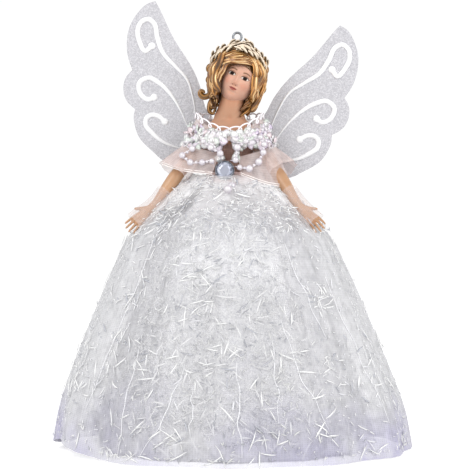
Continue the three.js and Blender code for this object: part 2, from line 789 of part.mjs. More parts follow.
// The setting is a cup with claws, turned to face the front
function broochSetting() {
  const seat = brooch_radius - setting_wall;
  const profile = [
    [0, 0], [brooch_radius, 0], [brooch_radius, setting_rise], [seat, setting_rise], [seat, setting_back],
    [0, setting_back]];
  const cup = new THREE.LatheGeometry(profile.map(([x, y]) => new THREE.Vector2(x, y)), 20);
  const claws = [];
  for (let i = 0; i < claw_count; i++) {
    const turn = (2 * Math.PI * (i + 0.5)) / claw_count;
    const claw = new THREE.CylinderGeometry(claw_radius * 0.7, claw_radius, setting_rise, 5);
    const out = brooch_radius - setting_wall * 0.4;
    claws.push(placed(claw, out * Math.cos(turn), setting_rise * 0.9, out * Math.sin(turn)));
  }
  return toGeometry(join([cup, ...claws]));
}

function broochGem() {
  const girdle = brooch_radius - setting_wall - claw_radius * 1.2 - fit;
  const rows = [[1, 0], [1, 0.3], [0.8, 0.72], [0.52, 1]];
  const rings = rows.map(([out, up], i) => {
    const ring = [];
    for (let j = 0; j < 16; j++) {
      const turn = (2 * Math.PI * j) / 16;
      const facet = girdle * out * (i < 2 ? 1 : 1 - 0.07 * (j % 2));
      ring.push(new THREE.Vector3(facet * Math.cos(turn), gem_rise * up, facet * Math.sin(turn)));
    }
    return ring;
  });
  return placed(loft(rings), 0, setting_back + fit, 0);
}

function frontOf(x, radius) {
  const half = shoulder_half_width + collar_flare;
  return -(collar_front + body_gap + radius) * (1 - swag_bow_share * (x / half) ** 2);
}

// Pearls knotted on a thread, each place given by its share across the shoulders and up the torso
function pearlString(places, last) {
  const points = places.map(([across, up]) => {
    const x = across * shoulder_half_width;
    return new THREE.Vector3(x, frontOf(x, pearl_radius), up * torso_rise);
  });
  const beads = points.map((p) => placed(new THREE.SphereGeometry(pearl_radius, 8, 5), ...p.toArray()));
  const knots = last ? [...points, last] : points;
  const thread = sweep(curveThrough(knots), () => [thread_radius, thread_radius], 2 * (knots.length - 1), 4);
  return toGeometry(join([...beads, thread]));
}

function besideBrooch(angle) {
  const away = brooch_radius + body_gap + thread_radius;
  const x = brooch_middle_x + away * Math.cos(angle * degree);
  const z = brooch_middle_z + away * Math.sin(angle * degree);
  return new THREE.Vector3(x, -(sash_front + glue_line + setting_rise / 2 + pearl_radius * 0.3), z);
}

// Two pearls that hang from the brooch and rest on the dome of the skirt
function pearlDrop() {
  const front = skirt_steps * 0.75;
  const rest = (station, along, side) => {
    const low = skirtPoint(station, (2 * Math.PI * front) / skirt_steps, -(body_gap * 2 + pearl_radius));
    const high = skirtPoint(station + 1, (2 * Math.PI * front) / skirt_steps, -(body_gap * 2 + pearl_radius));
    return low.lerp(high, along).add(new THREE.Vector3(waist_shift + side, 0, -waist_height));
  };
  const upper = rest(5, 0.95, brooch_middle_x * 0.1);
  const lower = rest(5, 0.15, -brooch_middle_x * 0.05);
  const beads = [upper, lower].map((p) => (
    placed(new THREE.SphereGeometry(pearl_radius, 8, 5), ...p.toArray())));
  const thread = sweep(new THREE.LineCurve3(upper, lower), () => [thread_radius, thread_radius], 1, 4);
  return toGeometry(join([...beads, thread]));
}

const wing_plane = Math.max(collar_back, sash_front) + body_gap;

// Outline of one wing from its root: shares of its reach and of its rise
const inner_edge_shares = [
  [0.136, 0.178], [0.251, 0.284], [0.319, 0.426], [0.419, 0.567], [0.603, 0.752], [0.744, 0.936]];
const tip_share = [0.8, 1];
const top_lobe_shares = [
  [0.864, 0.976], [0.919, 0.926], [0.976, 0.837], [1, 0.738], [0.99, 0.631], [0.959, 0.55]];
const upper_notch_share = [0.919, 0.488];
const middle_lobe_shares = [[0.963, 0.437], [0.978, 0.38], [0.969, 0.319], [0.932, 0.26]];
const lower_notch_share = [0.853, 0.21];
const lower_lobe_shares = [
  [0.856, 0.156], [0.836, 0.092], [0.793, 0.021], [0.729, -0.031],
  [0.636, -0.085], [0.551, -0.13], [0.339, -0.184], [0.136, -0.17]];
const scroll_shares = {
  upper: [
    [0.322, 0.199], [0.373, 0.348], [0.441, 0.468], [0.568, 0.56], [0.678, 0.638],
    [0.742, 0.738], [0.792, 0.844], [0.839, 0.865], [0.898, 0.837], [0.919, 0.774],
    [0.895, 0.704], [0.831, 0.634], [0.781, 0.677]],
  middle: [
    [0.381, 0.13], [0.485, 0.27], [0.576, 0.357], [0.678, 0.42], [0.773, 0.447],
    [0.844, 0.404], [0.834, 0.338], [0.746, 0.292], [0.705, 0.312]],
  lower: [
    [0.363, -0.028], [0.466, -0.02], [0.585, 0.007], [0.681, 0.057], [0.746, 0.113],
    [0.746, 0.156], [0.702, 0.186], [0.644, 0.182], [0.585, 0.149]],
};

function wingSpot(side, [out, up]) {
  return new THREE.Vector2(side * out * wing_reach, up * wing_rise);
}

function wing(side) {
  const spots = (shares) => shares.map((share) => wingSpot(side, share));
  const shape = new THREE.Shape();
  shape.moveTo(side * wing_part, -wing_root_height / 2);
  shape.lineTo(side * wing_part, wing_root_height / 2);
  shape.splineThru([...spots(inner_edge_shares), wingSpot(side, tip_share)]);
  shape.splineThru([...spots(top_lobe_shares), wingSpot(side, upper_notch_share)]);
  shape.splineThru([...spots(middle_lobe_shares), wingSpot(side, lower_notch_share)]);
  shape.splineThru([...spots(lower_lobe_shares), new THREE.Vector2(side * wing_part, -wing_root_height / 2)]);
  const sheet = { depth: wing_thick, bevelEnabled: false, curveSegments: 3 };
  return new THREE.ExtrudeGeometry(shape, sheet).rotateX(Math.PI / 2);
}

// A raised line of paint: flat at the back, domed at the front, thin at its root, with a round end
function scroll(side, shares) {
  const spots = shares.map((share) => wingSpot(side, share));
  const curve = curveThrough(spots.map((spot) => new THREE.Vector3(spot.x, 0, spot.y)));
  const steps = 2 * shares.length;
  const rings = [];
  for (let i = 0; i <= steps; i++) {
    const t = i / steps;
    const grown = mix(scroll_tip_width, scroll_width, Math.sin((Math.PI / 2) * Math.min(1, t * 1.6)));
    const half = grown / 2;
    const middle = curve.getPointAt(t);
    const along = curve.getTangentAt(t);
    const wide = new THREE.Vector3(-along.z, 0, along.x);
    const up = new THREE.Vector3(0, -scroll_rise, 0);
    rings.push([[-1, 0], [-0.55, 1], [0.55, 1], [1, 0]].map(([out, high]) => (
      middle.clone().addScaledVector(wide, out * half).addScaledVector(up, high))));
  }
  const dome = [[0, 0], [0.5, 0], [0.46, 0.55], [0.3, 0.9], [0, 1]];
  const blob_profile = dome.map(([out, up]) => new THREE.Vector2(out * scroll_blob, up * scroll_rise));
  const blob = new THREE.LatheGeometry(blob_profile, 8);
  const end = curve.getPointAt(1);
  return toGeometry(join([loft(rings), placed(blob.rotateX(Math.PI), end.x, 0, end.z)]));
}

// The card cone that stands on the table or slips over the top of a tree
const seat_height = waist_height - seat_drop;
const cone_top_bore = stem_radius + fit;
const cone_radius = net_hem_radius - cone_room;
const cone_profile = [
  [cone_radius, 0], [cone_top_bore + card, seat_height], [cone_top_bore, seat_height],
  [cone_top_bore, seat_height - seat_drop / 2], [cone_radius - card, 0], [cone_radius, 0]];

const angel = new THREE.Group();

const cone = new THREE.LatheGeometry(cone_profile.map(([x, y]) => new THREE.Vector2(x, y)), cone_sides);
const cone_mesh = named('support_cone', cone.rotateX(Math.PI / 2), card_grey);
cone_mesh.position.x = -waist_shift;
angel.add(cone_mesh);

const net_depth = overskirt_cloth + layer_gap;
const lining_depth = net_depth + net_cloth + layer_gap;
const net_draw_in = hem_radius - net_hem_radius;
angel.add(named('overskirt', skirtLayer(0, overskirt_cloth, 0), white_cloth));
angel.add(named('tinsel_net', skirtLayer(net_depth, net_cloth, net_draw_in), tinsel));
angel.add(named('underskirt', skirtLayer(lining_depth, lining_cloth, net_draw_in), white_cloth));
angel.add(named('left_ribbon_tail', ribbonTail(left_tail_step), blush_cloth));
angel.add(named('right_ribbon_tail', ribbonTail(right_tail_step), blush_cloth));

const doll = new THREE.Group();
doll.position.set(-waist_shift, 0, waist_height);
doll.add(named('bust', bust(), skin));
doll.add(named('hair', hair(), gold_hair));
doll.add(named('tiara', tiara(), tinsel));
doll.add(named('hang_ring', hangRing(), silver));
doll.add(named('waist_sash', sash(), blush_cloth));
doll.add(named('organza_bodice', bodice(), blush_cloth));
doll.add(named('lace_collar', collar(), tinsel));
doll.add(named('neckline_braid', necklineBraid(), pearl));

const shoulders = [['left', -1, left_spread, left_swing], ['right', 1, right_spread, right_swing]];
for (const [name, side, spread, swing] of shoulders) {
  const shoulder = new THREE.Group();
  shoulder.position.set(side * (socket_face + fit), 0, shoulder_height);
  shoulder.rotation.x = -swing * degree;
  shoulder.add(named(`${name}_arm`, arm(side, spread), skin));
  shoulder.add(named(`${name}_sleeve`, sleeve(side, spread), blush_cloth));
  doll.add(shoulder);
}

const brooch = new THREE.Group();
brooch.position.set(brooch_middle_x, -(sash_front + glue_line), brooch_middle_z);
brooch.rotation.x = -Math.PI;
brooch.add(named('brooch_setting', broochSetting(), silver));
brooch.add(named('brooch_gem', broochGem(), rhinestone));
doll.add(brooch);

const left_swag_shares = [[-1.35, 0.5], [-1.71, 0.41], [-1.42, 0.314], [-0.99, 0.314], [-0.64, 0.33]];
const right_swag_shares = [
  [1.12, 0.657], [1.25, 0.56], [1.22, 0.45], [1.06, 0.32], [0.72, 0.228], [0.37, 0.243]];
const inner_left_shares = [[-0.95, 0.6], [-0.68, 0.514], [-0.335, 0.433]];
const inner_right_shares = [[0.6, 0.6], [0.28, 0.514], [0.22, 0.345]];
doll.add(named('left_pearl_swag', pearlString(left_swag_shares, besideBrooch(160)), pearl));
doll.add(named('right_pearl_swag', pearlString(right_swag_shares, besideBrooch(20)), pearl));
doll.add(named('inner_left_pearls', pearlString(inner_left_shares, besideBrooch(110)), pearl));
doll.add(named('inner_right_pearls', pearlString(inner_right_shares, besideBrooch(60)), pearl));
doll.add(named('pearl_drop', pearlDrop(), pearl));

const wings = new THREE.Group();
wings.position.set(0, wing_plane + wing_thick, torso_rise * 0.5);
wings.rotation.y = wing_tilt * degree;
for (const [name, side] of [['left', -1], ['right', 1]]) {
  wings.add(named(`${name}_wing`, wing(side), glitter));
  for (const [place, shares] of Object.entries(scroll_shares)) {
    const line = named(`${name}_${place}_scroll`, scroll(side, shares), paint);
    line.position.y = -wing_thick - glue_line;
    wings.add(line);
  }
}
doll.add(wings);
angel.add(doll);

const box = new THREE.Box3().setFromObject(angel);
angel.position.set(-(box.min.x + box.max.x) / 2, -(box.min.y + box.max.y) / 2, 0);

export default angel;
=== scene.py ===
"""Angel tree topper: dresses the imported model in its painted, sewn and beaded surfaces.

Every piece is worked out in millimetres in the doll's own frame: the origin is in the middle of the
waist, x runs to the viewer's right, -y is the side that the angel faces, and z is up.
"""

from __future__ import annotations

import json
import logging
import math
from dataclasses import dataclass, field
from enum import Enum
from functools import cache, partial
from typing import Callable, Iterable, Sequence

import bpy
import numpy as np
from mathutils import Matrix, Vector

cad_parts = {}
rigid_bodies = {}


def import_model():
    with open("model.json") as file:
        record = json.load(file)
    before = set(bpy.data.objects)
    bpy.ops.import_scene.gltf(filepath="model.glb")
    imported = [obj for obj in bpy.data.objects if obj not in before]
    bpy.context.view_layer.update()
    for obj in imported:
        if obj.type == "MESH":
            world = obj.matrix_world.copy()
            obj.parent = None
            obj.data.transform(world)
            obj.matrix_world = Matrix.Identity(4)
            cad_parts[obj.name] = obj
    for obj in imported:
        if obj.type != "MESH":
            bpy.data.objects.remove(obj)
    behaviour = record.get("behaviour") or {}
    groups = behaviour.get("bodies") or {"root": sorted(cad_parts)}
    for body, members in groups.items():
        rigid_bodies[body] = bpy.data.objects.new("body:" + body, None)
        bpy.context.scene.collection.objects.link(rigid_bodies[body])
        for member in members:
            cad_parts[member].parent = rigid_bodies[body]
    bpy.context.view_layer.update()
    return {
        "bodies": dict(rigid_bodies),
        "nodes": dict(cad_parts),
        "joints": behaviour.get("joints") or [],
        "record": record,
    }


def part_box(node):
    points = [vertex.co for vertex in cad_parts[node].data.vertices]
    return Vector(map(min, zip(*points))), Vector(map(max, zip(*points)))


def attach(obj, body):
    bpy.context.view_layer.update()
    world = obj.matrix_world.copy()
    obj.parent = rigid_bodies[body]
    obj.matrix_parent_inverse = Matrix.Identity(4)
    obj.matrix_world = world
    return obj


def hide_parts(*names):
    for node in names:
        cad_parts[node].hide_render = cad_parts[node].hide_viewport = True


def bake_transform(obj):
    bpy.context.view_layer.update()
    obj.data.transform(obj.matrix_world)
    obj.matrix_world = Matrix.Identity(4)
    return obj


Array = np.ndarray
Colour = tuple[float, float, float, float]
Points = Sequence[Sequence[float]]
Tree = bpy.types.NodeTree
Node = bpy.types.Node
Socket = bpy.types.NodeSocket
Thing = bpy.types.Object
Adder = Callable[..., Node]

MM = 0.001
TAU = 2 * math.pi
BACK = np.array([0, 1.0, 0])
log = logging.getLogger("angel")


class Side(Enum):
    """A side of the angel as the viewer sees it."""

    LEFT = -1
    RIGHT = 1

    @property
    def word(self) -> str:
        """The side's name as it stands in the names of nodes."""
        return self.name.lower()

    @property
    def arm_body(self) -> str:
        """The CAD body that the arm on this side belongs to."""
        return f"{self.word}_arm"


class Held(Enum):
    GATHERED = "gathered"
    DRAPED = "draped"
    STRETCHED = "stretched"


class Axis(Enum):
    """An axis of the doll's frame by its number."""

    X = 0
    Y = 1
    Z = 2


def smooth(value: Array, low: float, high: float) -> Array:
    """An S-shaped step from 0 at low to 1 at high: 3t^2 - 2t^3."""
    t = np.clip((value - low) / (high - low), 0, 1)
    return t * t * (3 - 2 * t)


def bump(value: Array, middle: float, spread: float) -> Array:
    """A bell curve of height 1: exp(-((value - middle) / spread)^2)."""
    return np.exp(-(((value - middle) / spread) ** 2))


def unit(vectors: Array) -> Array:
    """Each vector along the last axis at length 1."""
    return vectors / np.maximum(np.linalg.norm(vectors, axis=-1, keepdims=True), 1e-9)


def turn_matrix(axis: Axis, degrees: float) -> Array:
    """The matrix of a turn by the right-hand rule: the one about x, with its rows and columns moved on.

    Args:
        axis: The axis of the turn.
        degrees: Its angle.

    Returns:
        The matrix, 3 by 3, for column vectors.
    """
    c, s = math.cos(math.radians(degrees)), math.sin(math.radians(degrees))
    return np.roll(np.array([[1, 0, 0], [0, c, -s], [0, s, c]]), axis.value, (0, 1))


def spline(knots: Points | Array, samples: int) -> Array:
    """A smooth curve through the knots: cubic Hermite spans with slopes from the neighbours.

    Args:
        knots: The points that the curve passes, in any number of dimensions.
        samples: How many points to give, evenly spread by length.

    Returns:
        The points, samples by dimensions.
    """
    points = np.asarray(knots, float)
    stops = np.concatenate([[0.0], np.cumsum(np.linalg.norm(np.diff(points, axis=0), axis=1))])
    slopes = np.gradient(points, stops, axis=0)
    where = np.linspace(0, stops[-1], samples)
    i = np.clip(np.searchsorted(stops, where, side="right") - 1, 0, len(points) - 2)
    span = (stops[i + 1] - stops[i])[:, None]
    t = (where - stops[i])[:, None] / span
    return (
        (2 * t**3 - 3 * t**2 + 1) * points[i]
        + (t**3 - 2 * t**2 + t) * span * slopes[i]
        + (-2 * t**3 + 3 * t**2) * points[i + 1]
        + (t**3 - t**2) * span * slopes[i + 1]
    )


def xyz(x: Array | float, y: Array | float, z: Array | float) -> Array:
    """Points from their coordinates, in arrays of shapes that fit together."""
    return np.stack(np.broadcast_arrays(x, y, z), -1)


def round_angles(count: int) -> Array:
    """Angles in radians that share a full turn evenly, from 0."""
    return np.arange(count) * TAU / count


def round_grid(rows: int, columns: int) -> tuple[Array, Array]:
    """Shares from 0 to 1 down the rows and angles round the columns, as two whole grids."""
    return tuple(np.meshgrid(np.linspace(0, 1, rows), round_angles(columns), indexing="ij"))


def carried(path: Array, across: Array, up: Array, wide: Array, thick: Array) -> Array:
    """A ring of points at each place of a path: path + wide across + thick up.

    Args:
        path: The middle line, n by 3.
        across: One direction, for all rings or for each.
        up: The other direction.
        wide: How far the points go across, for all rings or for each.
        thick: How far they go up.

    Returns:
        The grid of points, n by sides by 3.
    """
    across, up = np.atleast_2d(across)[:, None], np.atleast_2d(up)[:, None]
    return path[:, None] + wide[..., None] * across + thick[..., None] * up


def tube(path: Array, outward: Array, wide: Array | float, thick: Array | float, sides: int,
         ridge: float = 0.0, ridges: int = 5) -> Array:
    """An oval carried along a path: wide cos(a) across and thick sin(a) up, swollen by ridge cos(ridges a).

    Args:
        path: The middle line, n by 3.
        outward: The direction that the thin way faces, for all of it or for each point.
        wide: Half the width, for all of it or for each point.
        thick: Half the thickness, likewise.
        sides: How many points go round.
        ridge: The depth of lengthwise ridges as a share of the radius.
        ridges: How many ridges there are.

    Returns:
        The grid of points, n by sides by 3.
    """
    along = unit(np.gradient(path, axis=0))
    across = unit(np.cross(along, np.broadcast_to(np.asarray(outward, float), path.shape)))
    angle = round_angles(sides)
    swell = 1 + ridge * np.cos(ridges * angle)
    wide, thick = (np.broadcast_to(np.asarray(half, float), len(path))[:, None] for half in (wide, thick))
    return carried(path, across, np.cross(across, along), wide * np.cos(angle) * swell,
                   thick * np.sin(angle) * swell)


def ball(centre: Sequence[float], radii: Sequence[float] | float, rows: int, sides: int) -> Array:
    """An ellipsoid's grid without its poles: radius times (sin f cos a, sin f sin a, cos f).

    Args:
        centre: Its middle.
        radii: Half its size along x, y and z, or its radius.
        rows: How many rings of points it has.
        sides: How many points go round.

    Returns:
        The grid.
    """
    fall = np.linspace(0, math.pi, rows + 2)[1:-1, None]
    angle = round_angles(sides)
    sphere = xyz(np.sin(fall) * np.cos(angle), np.sin(fall) * np.sin(angle), np.cos(fall))
    return sphere * np.asarray(radii, float) + np.asarray(centre, float)


def plain_rgb(hex_code: str) -> Array:
    """A hex colour as three linear values."""
    return np.array(linear(hex_code)[:3])


@dataclass
class Skin:
    """A grid of points in millimetres, rows by columns by 3, that becomes part of a mesh."""

    grid: Array
    # Whether the last column joins the first, the last row the first, and poles close the end rows
    closed: bool = True
    joined: bool = False
    capped: bool = True
    # Linear colours for each point; white where there are none
    tint: Array | None = None
    # The width and length in millimetres that the UV map spans
    size: tuple[float, float] = (10.0, 10.0)

    def parts(self, start: int) -> tuple[Array, ...]:
        """Quads between the grid's points and a fan to each pole, all facing outwards.

        Args:
            start: The number of the skin's first point in its mesh.

        Returns:
            Points, quads, fans, the UVs of the corners of both, and tints.
        """
        rows, columns = self.grid.shape[:2]
        i = np.arange(rows if self.joined else rows - 1)[:, None]
        j = np.arange(columns if self.closed else columns - 1)
        low, high, right = i * columns, (i + 1) % rows * columns, (j + 1) % columns
        quads = np.stack([low + j, low + right, high + right, high + j], -1).reshape(-1, 4)
        u, v = (np.stack(np.broadcast_arrays(*corners), -1) for corners in (
            (j, j + 1, j + 1, j + 0 * i), (i + 0 * j, i, i + 1, i + 1)))
        shares = np.stack([u / columns * self.size[0], v / max(rows - 1, 1) * self.size[1]], -1)
        quad_uvs = shares.reshape(-1, 4, 2)
        ring, last, pole = np.arange(columns), (rows - 1) * columns, np.full(columns, rows * columns)
        after = (ring + 1) % columns
        fans = np.concatenate([
            np.stack([after, ring, pole], -1), np.stack([last + ring, last + after, pole + 1], -1)])
        if self.joined or not self.capped:
            fans = fans[:0]
        points, faces = self.listed(self.grid), (quads, fans, quad_uvs, np.zeros((len(fans), 3, 2)))
        if self.closed and (self.capped or self.joined) and signed_volume(points, quads, fans) < 0:
            faces = tuple(values[:, ::-1] for values in faces)
        tint = np.ones(self.grid.shape) if self.tint is None else self.tint
        return points, faces[0] + start, faces[1] + start, *faces[2:], self.listed(tint)

    def listed(self, values: Array) -> Array:
        """The grid's values in one list, then the mean of each end row for its pole."""
        flat = values.reshape(-1, 3)
        if self.joined or not self.capped:
            return flat
        return np.concatenate([flat, values[0].mean(0)[None], values[-1].mean(0)[None]])


def painted(grid: Array, hex_code: str, *coats: tuple[str, Array], **ways: bool) -> Skin:
    """A skin in one colour under coats, each mixed in by its share: under (1 - share) + paint share.

    Args:
        grid: The skin's points.
        hex_code: The colour under all coats.
        *coats: The hex colour of each coat and its share at each point.
        **ways: Whether the skin is closed, joined and capped.

    Returns:
        The painted skin.
    """
    tint = np.broadcast_to(plain_rgb(hex_code), grid.shape)
    for code, cover in coats:
        share = np.clip(cover, 0, 1)[..., None]
        tint = tint * (1 - share) + plain_rgb(code) * share
    return Skin(grid, tint=tint, **ways)


def veiled(share: Array) -> Array:
    """A paint attribute that keeps the given share of a cloth's cover at each point."""
    return np.repeat(share[..., None], 3, -1)


class Workshop:
    """Turns skins into Blender objects in the row frame and puts them on their bodies."""

    def __init__(self, frame: dict) -> None:
        self.nodes = frame["nodes"]
        places = np.array([joint["pos_m"] for joint in frame["joints"]]) / MM
        self.origin = places.mean(0) - np.array([0, 0, shoulder_height])

    def piece(self, name: str, skins: Iterable[Skin], finish: Finish, slot: str, body: str | None = "doll",
              replaces: Sequence[str] = (), flat: bool = False) -> Thing:
        """Makes one object of skins, dresses it and lets it ride on a body.

        Args:
            name: The object's name.
            skins: The grids that it is made of.
            finish: Its material.
            slot: The record's material slot; not used.
            body: The CAD body, or None for a piece that is left on no body here.
            replaces: The CAD nodes that it stands for.
            flat: Whether it has flat facets.

        Returns:
            The object.
        """
        parts, start = [], 0
        for skin in skins:
            parts.append(skin.parts(start))
            start += len(parts[-1][0])
        points, quads, fans, quad_uvs, fan_uvs, tints = (np.concatenate(values) for values in zip(*parts))
        mesh = bpy.data.meshes.new(name)
        mesh.from_pydata(((points + self.origin) * MM).tolist(), [], quads.tolist() + fans.tolist())
        uv = mesh.uv_layers.new(name="cloth")
        uv.data.foreach_set("uv", np.concatenate([quad_uvs.ravel(), fan_uvs.ravel()]).astype(np.float32))
        paint = mesh.color_attributes.new(name="paint", type="FLOAT_COLOR", domain="POINT")
        paint.data.foreach_set("color", np.insert(tints, 3, 1, axis=1).astype(np.float32).ravel())
        mesh.polygons.foreach_set("use_smooth", np.full(len(mesh.polygons), not flat))
        mesh.update()
        thing = bpy.data.objects.new(name, mesh)
        bpy.context.scene.collection.objects.link(thing)
        mesh.materials.append(finish.material())
        if replaces:
            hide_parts(*replaces)
        if body:
            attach(thing, body)
        log.info("%s: %d faces", name, len(mesh.polygons))
        return thing

    def cloth(self, name: str, skin: Skin, finish: Finish, slot: str, held: Held, rests_on: Sequence[str],
              wall: float = 0.0, edges: Sequence[Thing] = (), **ways: object) -> Thing:
        """Makes a sheet of cloth, thickened by a Solidify modifier when it has a wall.

        Args:
            name: The object's name.
            skin: Its open grid.
            finish: Its material.
            slot: The record's material slot.
            held: How it is held; not used.
            rests_on: The pieces that it lies on; not used.
            wall: Its thickness in millimetres; 0 for a sheer cloth, whose 0.05 mm doesn't show.
            edges: Pieces sewn to it; not used.
            **ways: Its body and the CAD nodes that it replaces, as piece has them.

        Returns:
            The object.
        """
        thing = self.piece(name, [skin], finish, slot, **ways)
        if wall:
            modifier = thing.modifiers.new("thickness", "SOLIDIFY")
            modifier.thickness, modifier.offset = wall * MM, 0
        return thing

    def coat(self, node: str, finish: Finish) -> None:
        """Gives a CAD node that stays its finish."""
        materials = self.nodes[node].data.materials
        materials.clear()
        materials.append(finish.material())

    def box(self, node: str) -> tuple[Array, Array]:
        """The lowest and highest corner of a CAD node's box in the doll's frame."""
        return tuple(np.array(corner) / MM - self.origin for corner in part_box(node))

    def follow_arm(self, thing: Thing) -> None:
        """Bakes the place of a piece that rides on no body into its mesh.

        Args:
            thing: The piece, which rides on no body.
        """
        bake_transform(thing)


def signed_volume(points: Array, quads: Array, fans: Array) -> float:
    """Six times the volume inside a closed skin: the sum of a . (b x c) over its triangles.

    Args:
        points: Its points.
        quads: Its four-sided faces, by the points' numbers.
        fans: Its triangles.

    Returns:
        The sum, negative where the faces point inwards.
    """
    tris = np.concatenate([quads[:, [0, 1, 2]], quads[:, [0, 2, 3]], fans])
    a, b, c = points[tris[:, 0]], points[tris[:, 1]], points[tris[:, 2]]
    return float((a * np.cross(b, c)).sum())


def linear(hex_code: str) -> Colour:
    """An sRGB hex colour as linear red, green, blue and alpha."""
    parts = [int(hex_code[k:k + 2], 16) / 255 for k in (1, 3, 5)]
    return (*(p / 12.92 if p <= 0.04045 else ((p + 0.055) / 1.055) ** 2.4 for p in parts), 1.0)


def feed(tree: Tree, node: Node, inputs: dict) -> None:
    """Links and sets a node's inputs.

    Args:
        tree: The material's or world's node tree.
        node: The node that is fed.
        inputs: Values by the input's name or number: a socket is linked, a node stands for its first
            output in use, and text is a hex colour.
    """
    for key, value in inputs.items():
        if isinstance(value, Node):
            value = next(output for output in value.outputs if output.enabled)
        if isinstance(value, Socket):
            tree.links.new(value, node.inputs[key])
        else:
            node.inputs[key].default_value = linear(value) if isinstance(value, str) else value


def add_node(tree: Tree, kind: str, inputs: dict | None = None, **settings: object) -> Node:
    """Adds one node with its settings and its values or links.

    Args:
        tree: The material's or world's node tree.
        kind: The node's type name without its ShaderNode.
        inputs: What feeds it, as feed has it.
        **settings: The node's own properties.

    Returns:
        The node.
    """
    node = tree.nodes.new(f"ShaderNode{kind}")
    for key, value in settings.items():
        setattr(node, key, value)
    feed(tree, node, inputs or {})
    return node


@dataclass(frozen=True)
class Finish:
    """A surface finish; each kind says how its own shader is fed."""

    name: str

    @cache
    def material(self) -> bpy.types.Material:
        """The Blender material, which is built the first time it is asked for."""
        made = bpy.data.materials.new(self.name)
        made.use_nodes = True
        tree = made.node_tree
        tree.nodes.clear()
        add = partial(add_node, tree)
        shader = add("BsdfPrincipled")
        add("OutputMaterial", {"Surface": shader})
        feed(tree, shader, self.dress(add, add("TexCoord").outputs["Object"]))
        return made

    def dress(self, add: Adder, place: Socket) -> dict:
        """Adds the finish's own nodes.

        Args:
            add: add_node for the material's tree.
            place: Object coordinates.

        Returns:
            What feeds the shader, by the input's name.
        """
        raise NotImplementedError


def per_mm(size: float) -> float:
    """The scale at which a pattern repeats every so many millimetres."""
    return 1 / (size * MM)


# Light goes about a millimetre deep into vinyl, and red light the furthest
soft_flesh = {"Subsurface Radius": (1.0, 0.45, 0.3), "Subsurface Scale": 0.8 * MM}


@dataclass(frozen=True)
class Organza(Finish):
    """Sheer polyester organza, plain woven: threads that catch light with clear gaps between them."""

    cloth: str = "#e4e3ea"
    cover: float = 0.3
    # A tone that gathers near the hem and is gone so many millimetres above it; the cloth's own if empty
    cast: str = ""
    cast_top: float = 10.0
    # Where the paint attribute thins the cloth, where it lies flat, it takes this lighter tone as painted
    # light: brighter there, greyer in a gathered part
    flat: str = ""
    # Real threads lie 0.2 mm apart; drawn at 0.9 mm so that the weave shows at all
    thread: float = 0.9

    def dress(self, add: Adder, place: Socket) -> dict:
        """Cover follows two crossed thread waves and a soft mottle; the cast gathers near the hem."""
        patches = add("TexNoise", {"Vector": place, "Scale": per_mm(34), "Detail": 2.0})
        height = add("SeparateXYZ", {0: place}).outputs[2]
        low = add("MapRange", {0: height, 1: self.cast_top * MM, 2: 0.0, 4: 0.85})
        share = add("Math", {0: low, 1: patches}, operation="MULTIPLY")
        strong = add("MapRange", {0: share, 1: 0.22, 2: 0.45})
        thinned = add("Attribute", attribute_name="paint").outputs["Fac"]
        # Painted light: the thinned cloth turns to the lighter flat tone, and the gathered parts keep the
        # greyer cloth tone
        gathered = add("MapRange", {0: thinned, 1: 0.55, 2: 0.84})
        white = add("Mix", {0: gathered, 6: self.flat or self.cloth, 7: self.cloth}, data_type="RGBA")
        colour = add("Mix", {0: strong, 6: white, 7: self.cast or self.cloth}, data_type="RGBA")
        flat = add("TexCoord").outputs["UV"]
        thread = {"Vector": flat, "Scale": 0.314 / self.thread, "Distortion": 0.6, "Detail": 1.0}
        warp, weft = (add("TexWave", thread, bands_direction=way).outputs[1] for way in "XY")
        weave = add("Math", {0: warp, 1: weft}, operation="MAXIMUM")
        mottle = add("TexNoise", {"Vector": place, "Scale": per_mm(5), "Detail": 4.0})
        cloudy = add("MapRange", {0: mottle, 1: 0.3, 2: 0.7, 3: 0.75, 4: 1.25})
        woven = add("MapRange", {0: weave, 3: 0.84 * self.cover, 4: 1.12 * self.cover})
        faded = add("Math", {0: woven, 1: thinned}, operation="MULTIPLY")
        alpha = add("Math", {0: faded, 1: cloudy}, operation="MULTIPLY")
        relief = add("Bump", {"Strength": 0.25, "Distance": 0.2 * MM, "Height": weave})
        return {"Base Color": colour, "Alpha": alpha, "Normal": relief, "Roughness": 0.42,
                "Sheen Weight": 0.35, "Sheen Roughness": 0.3}


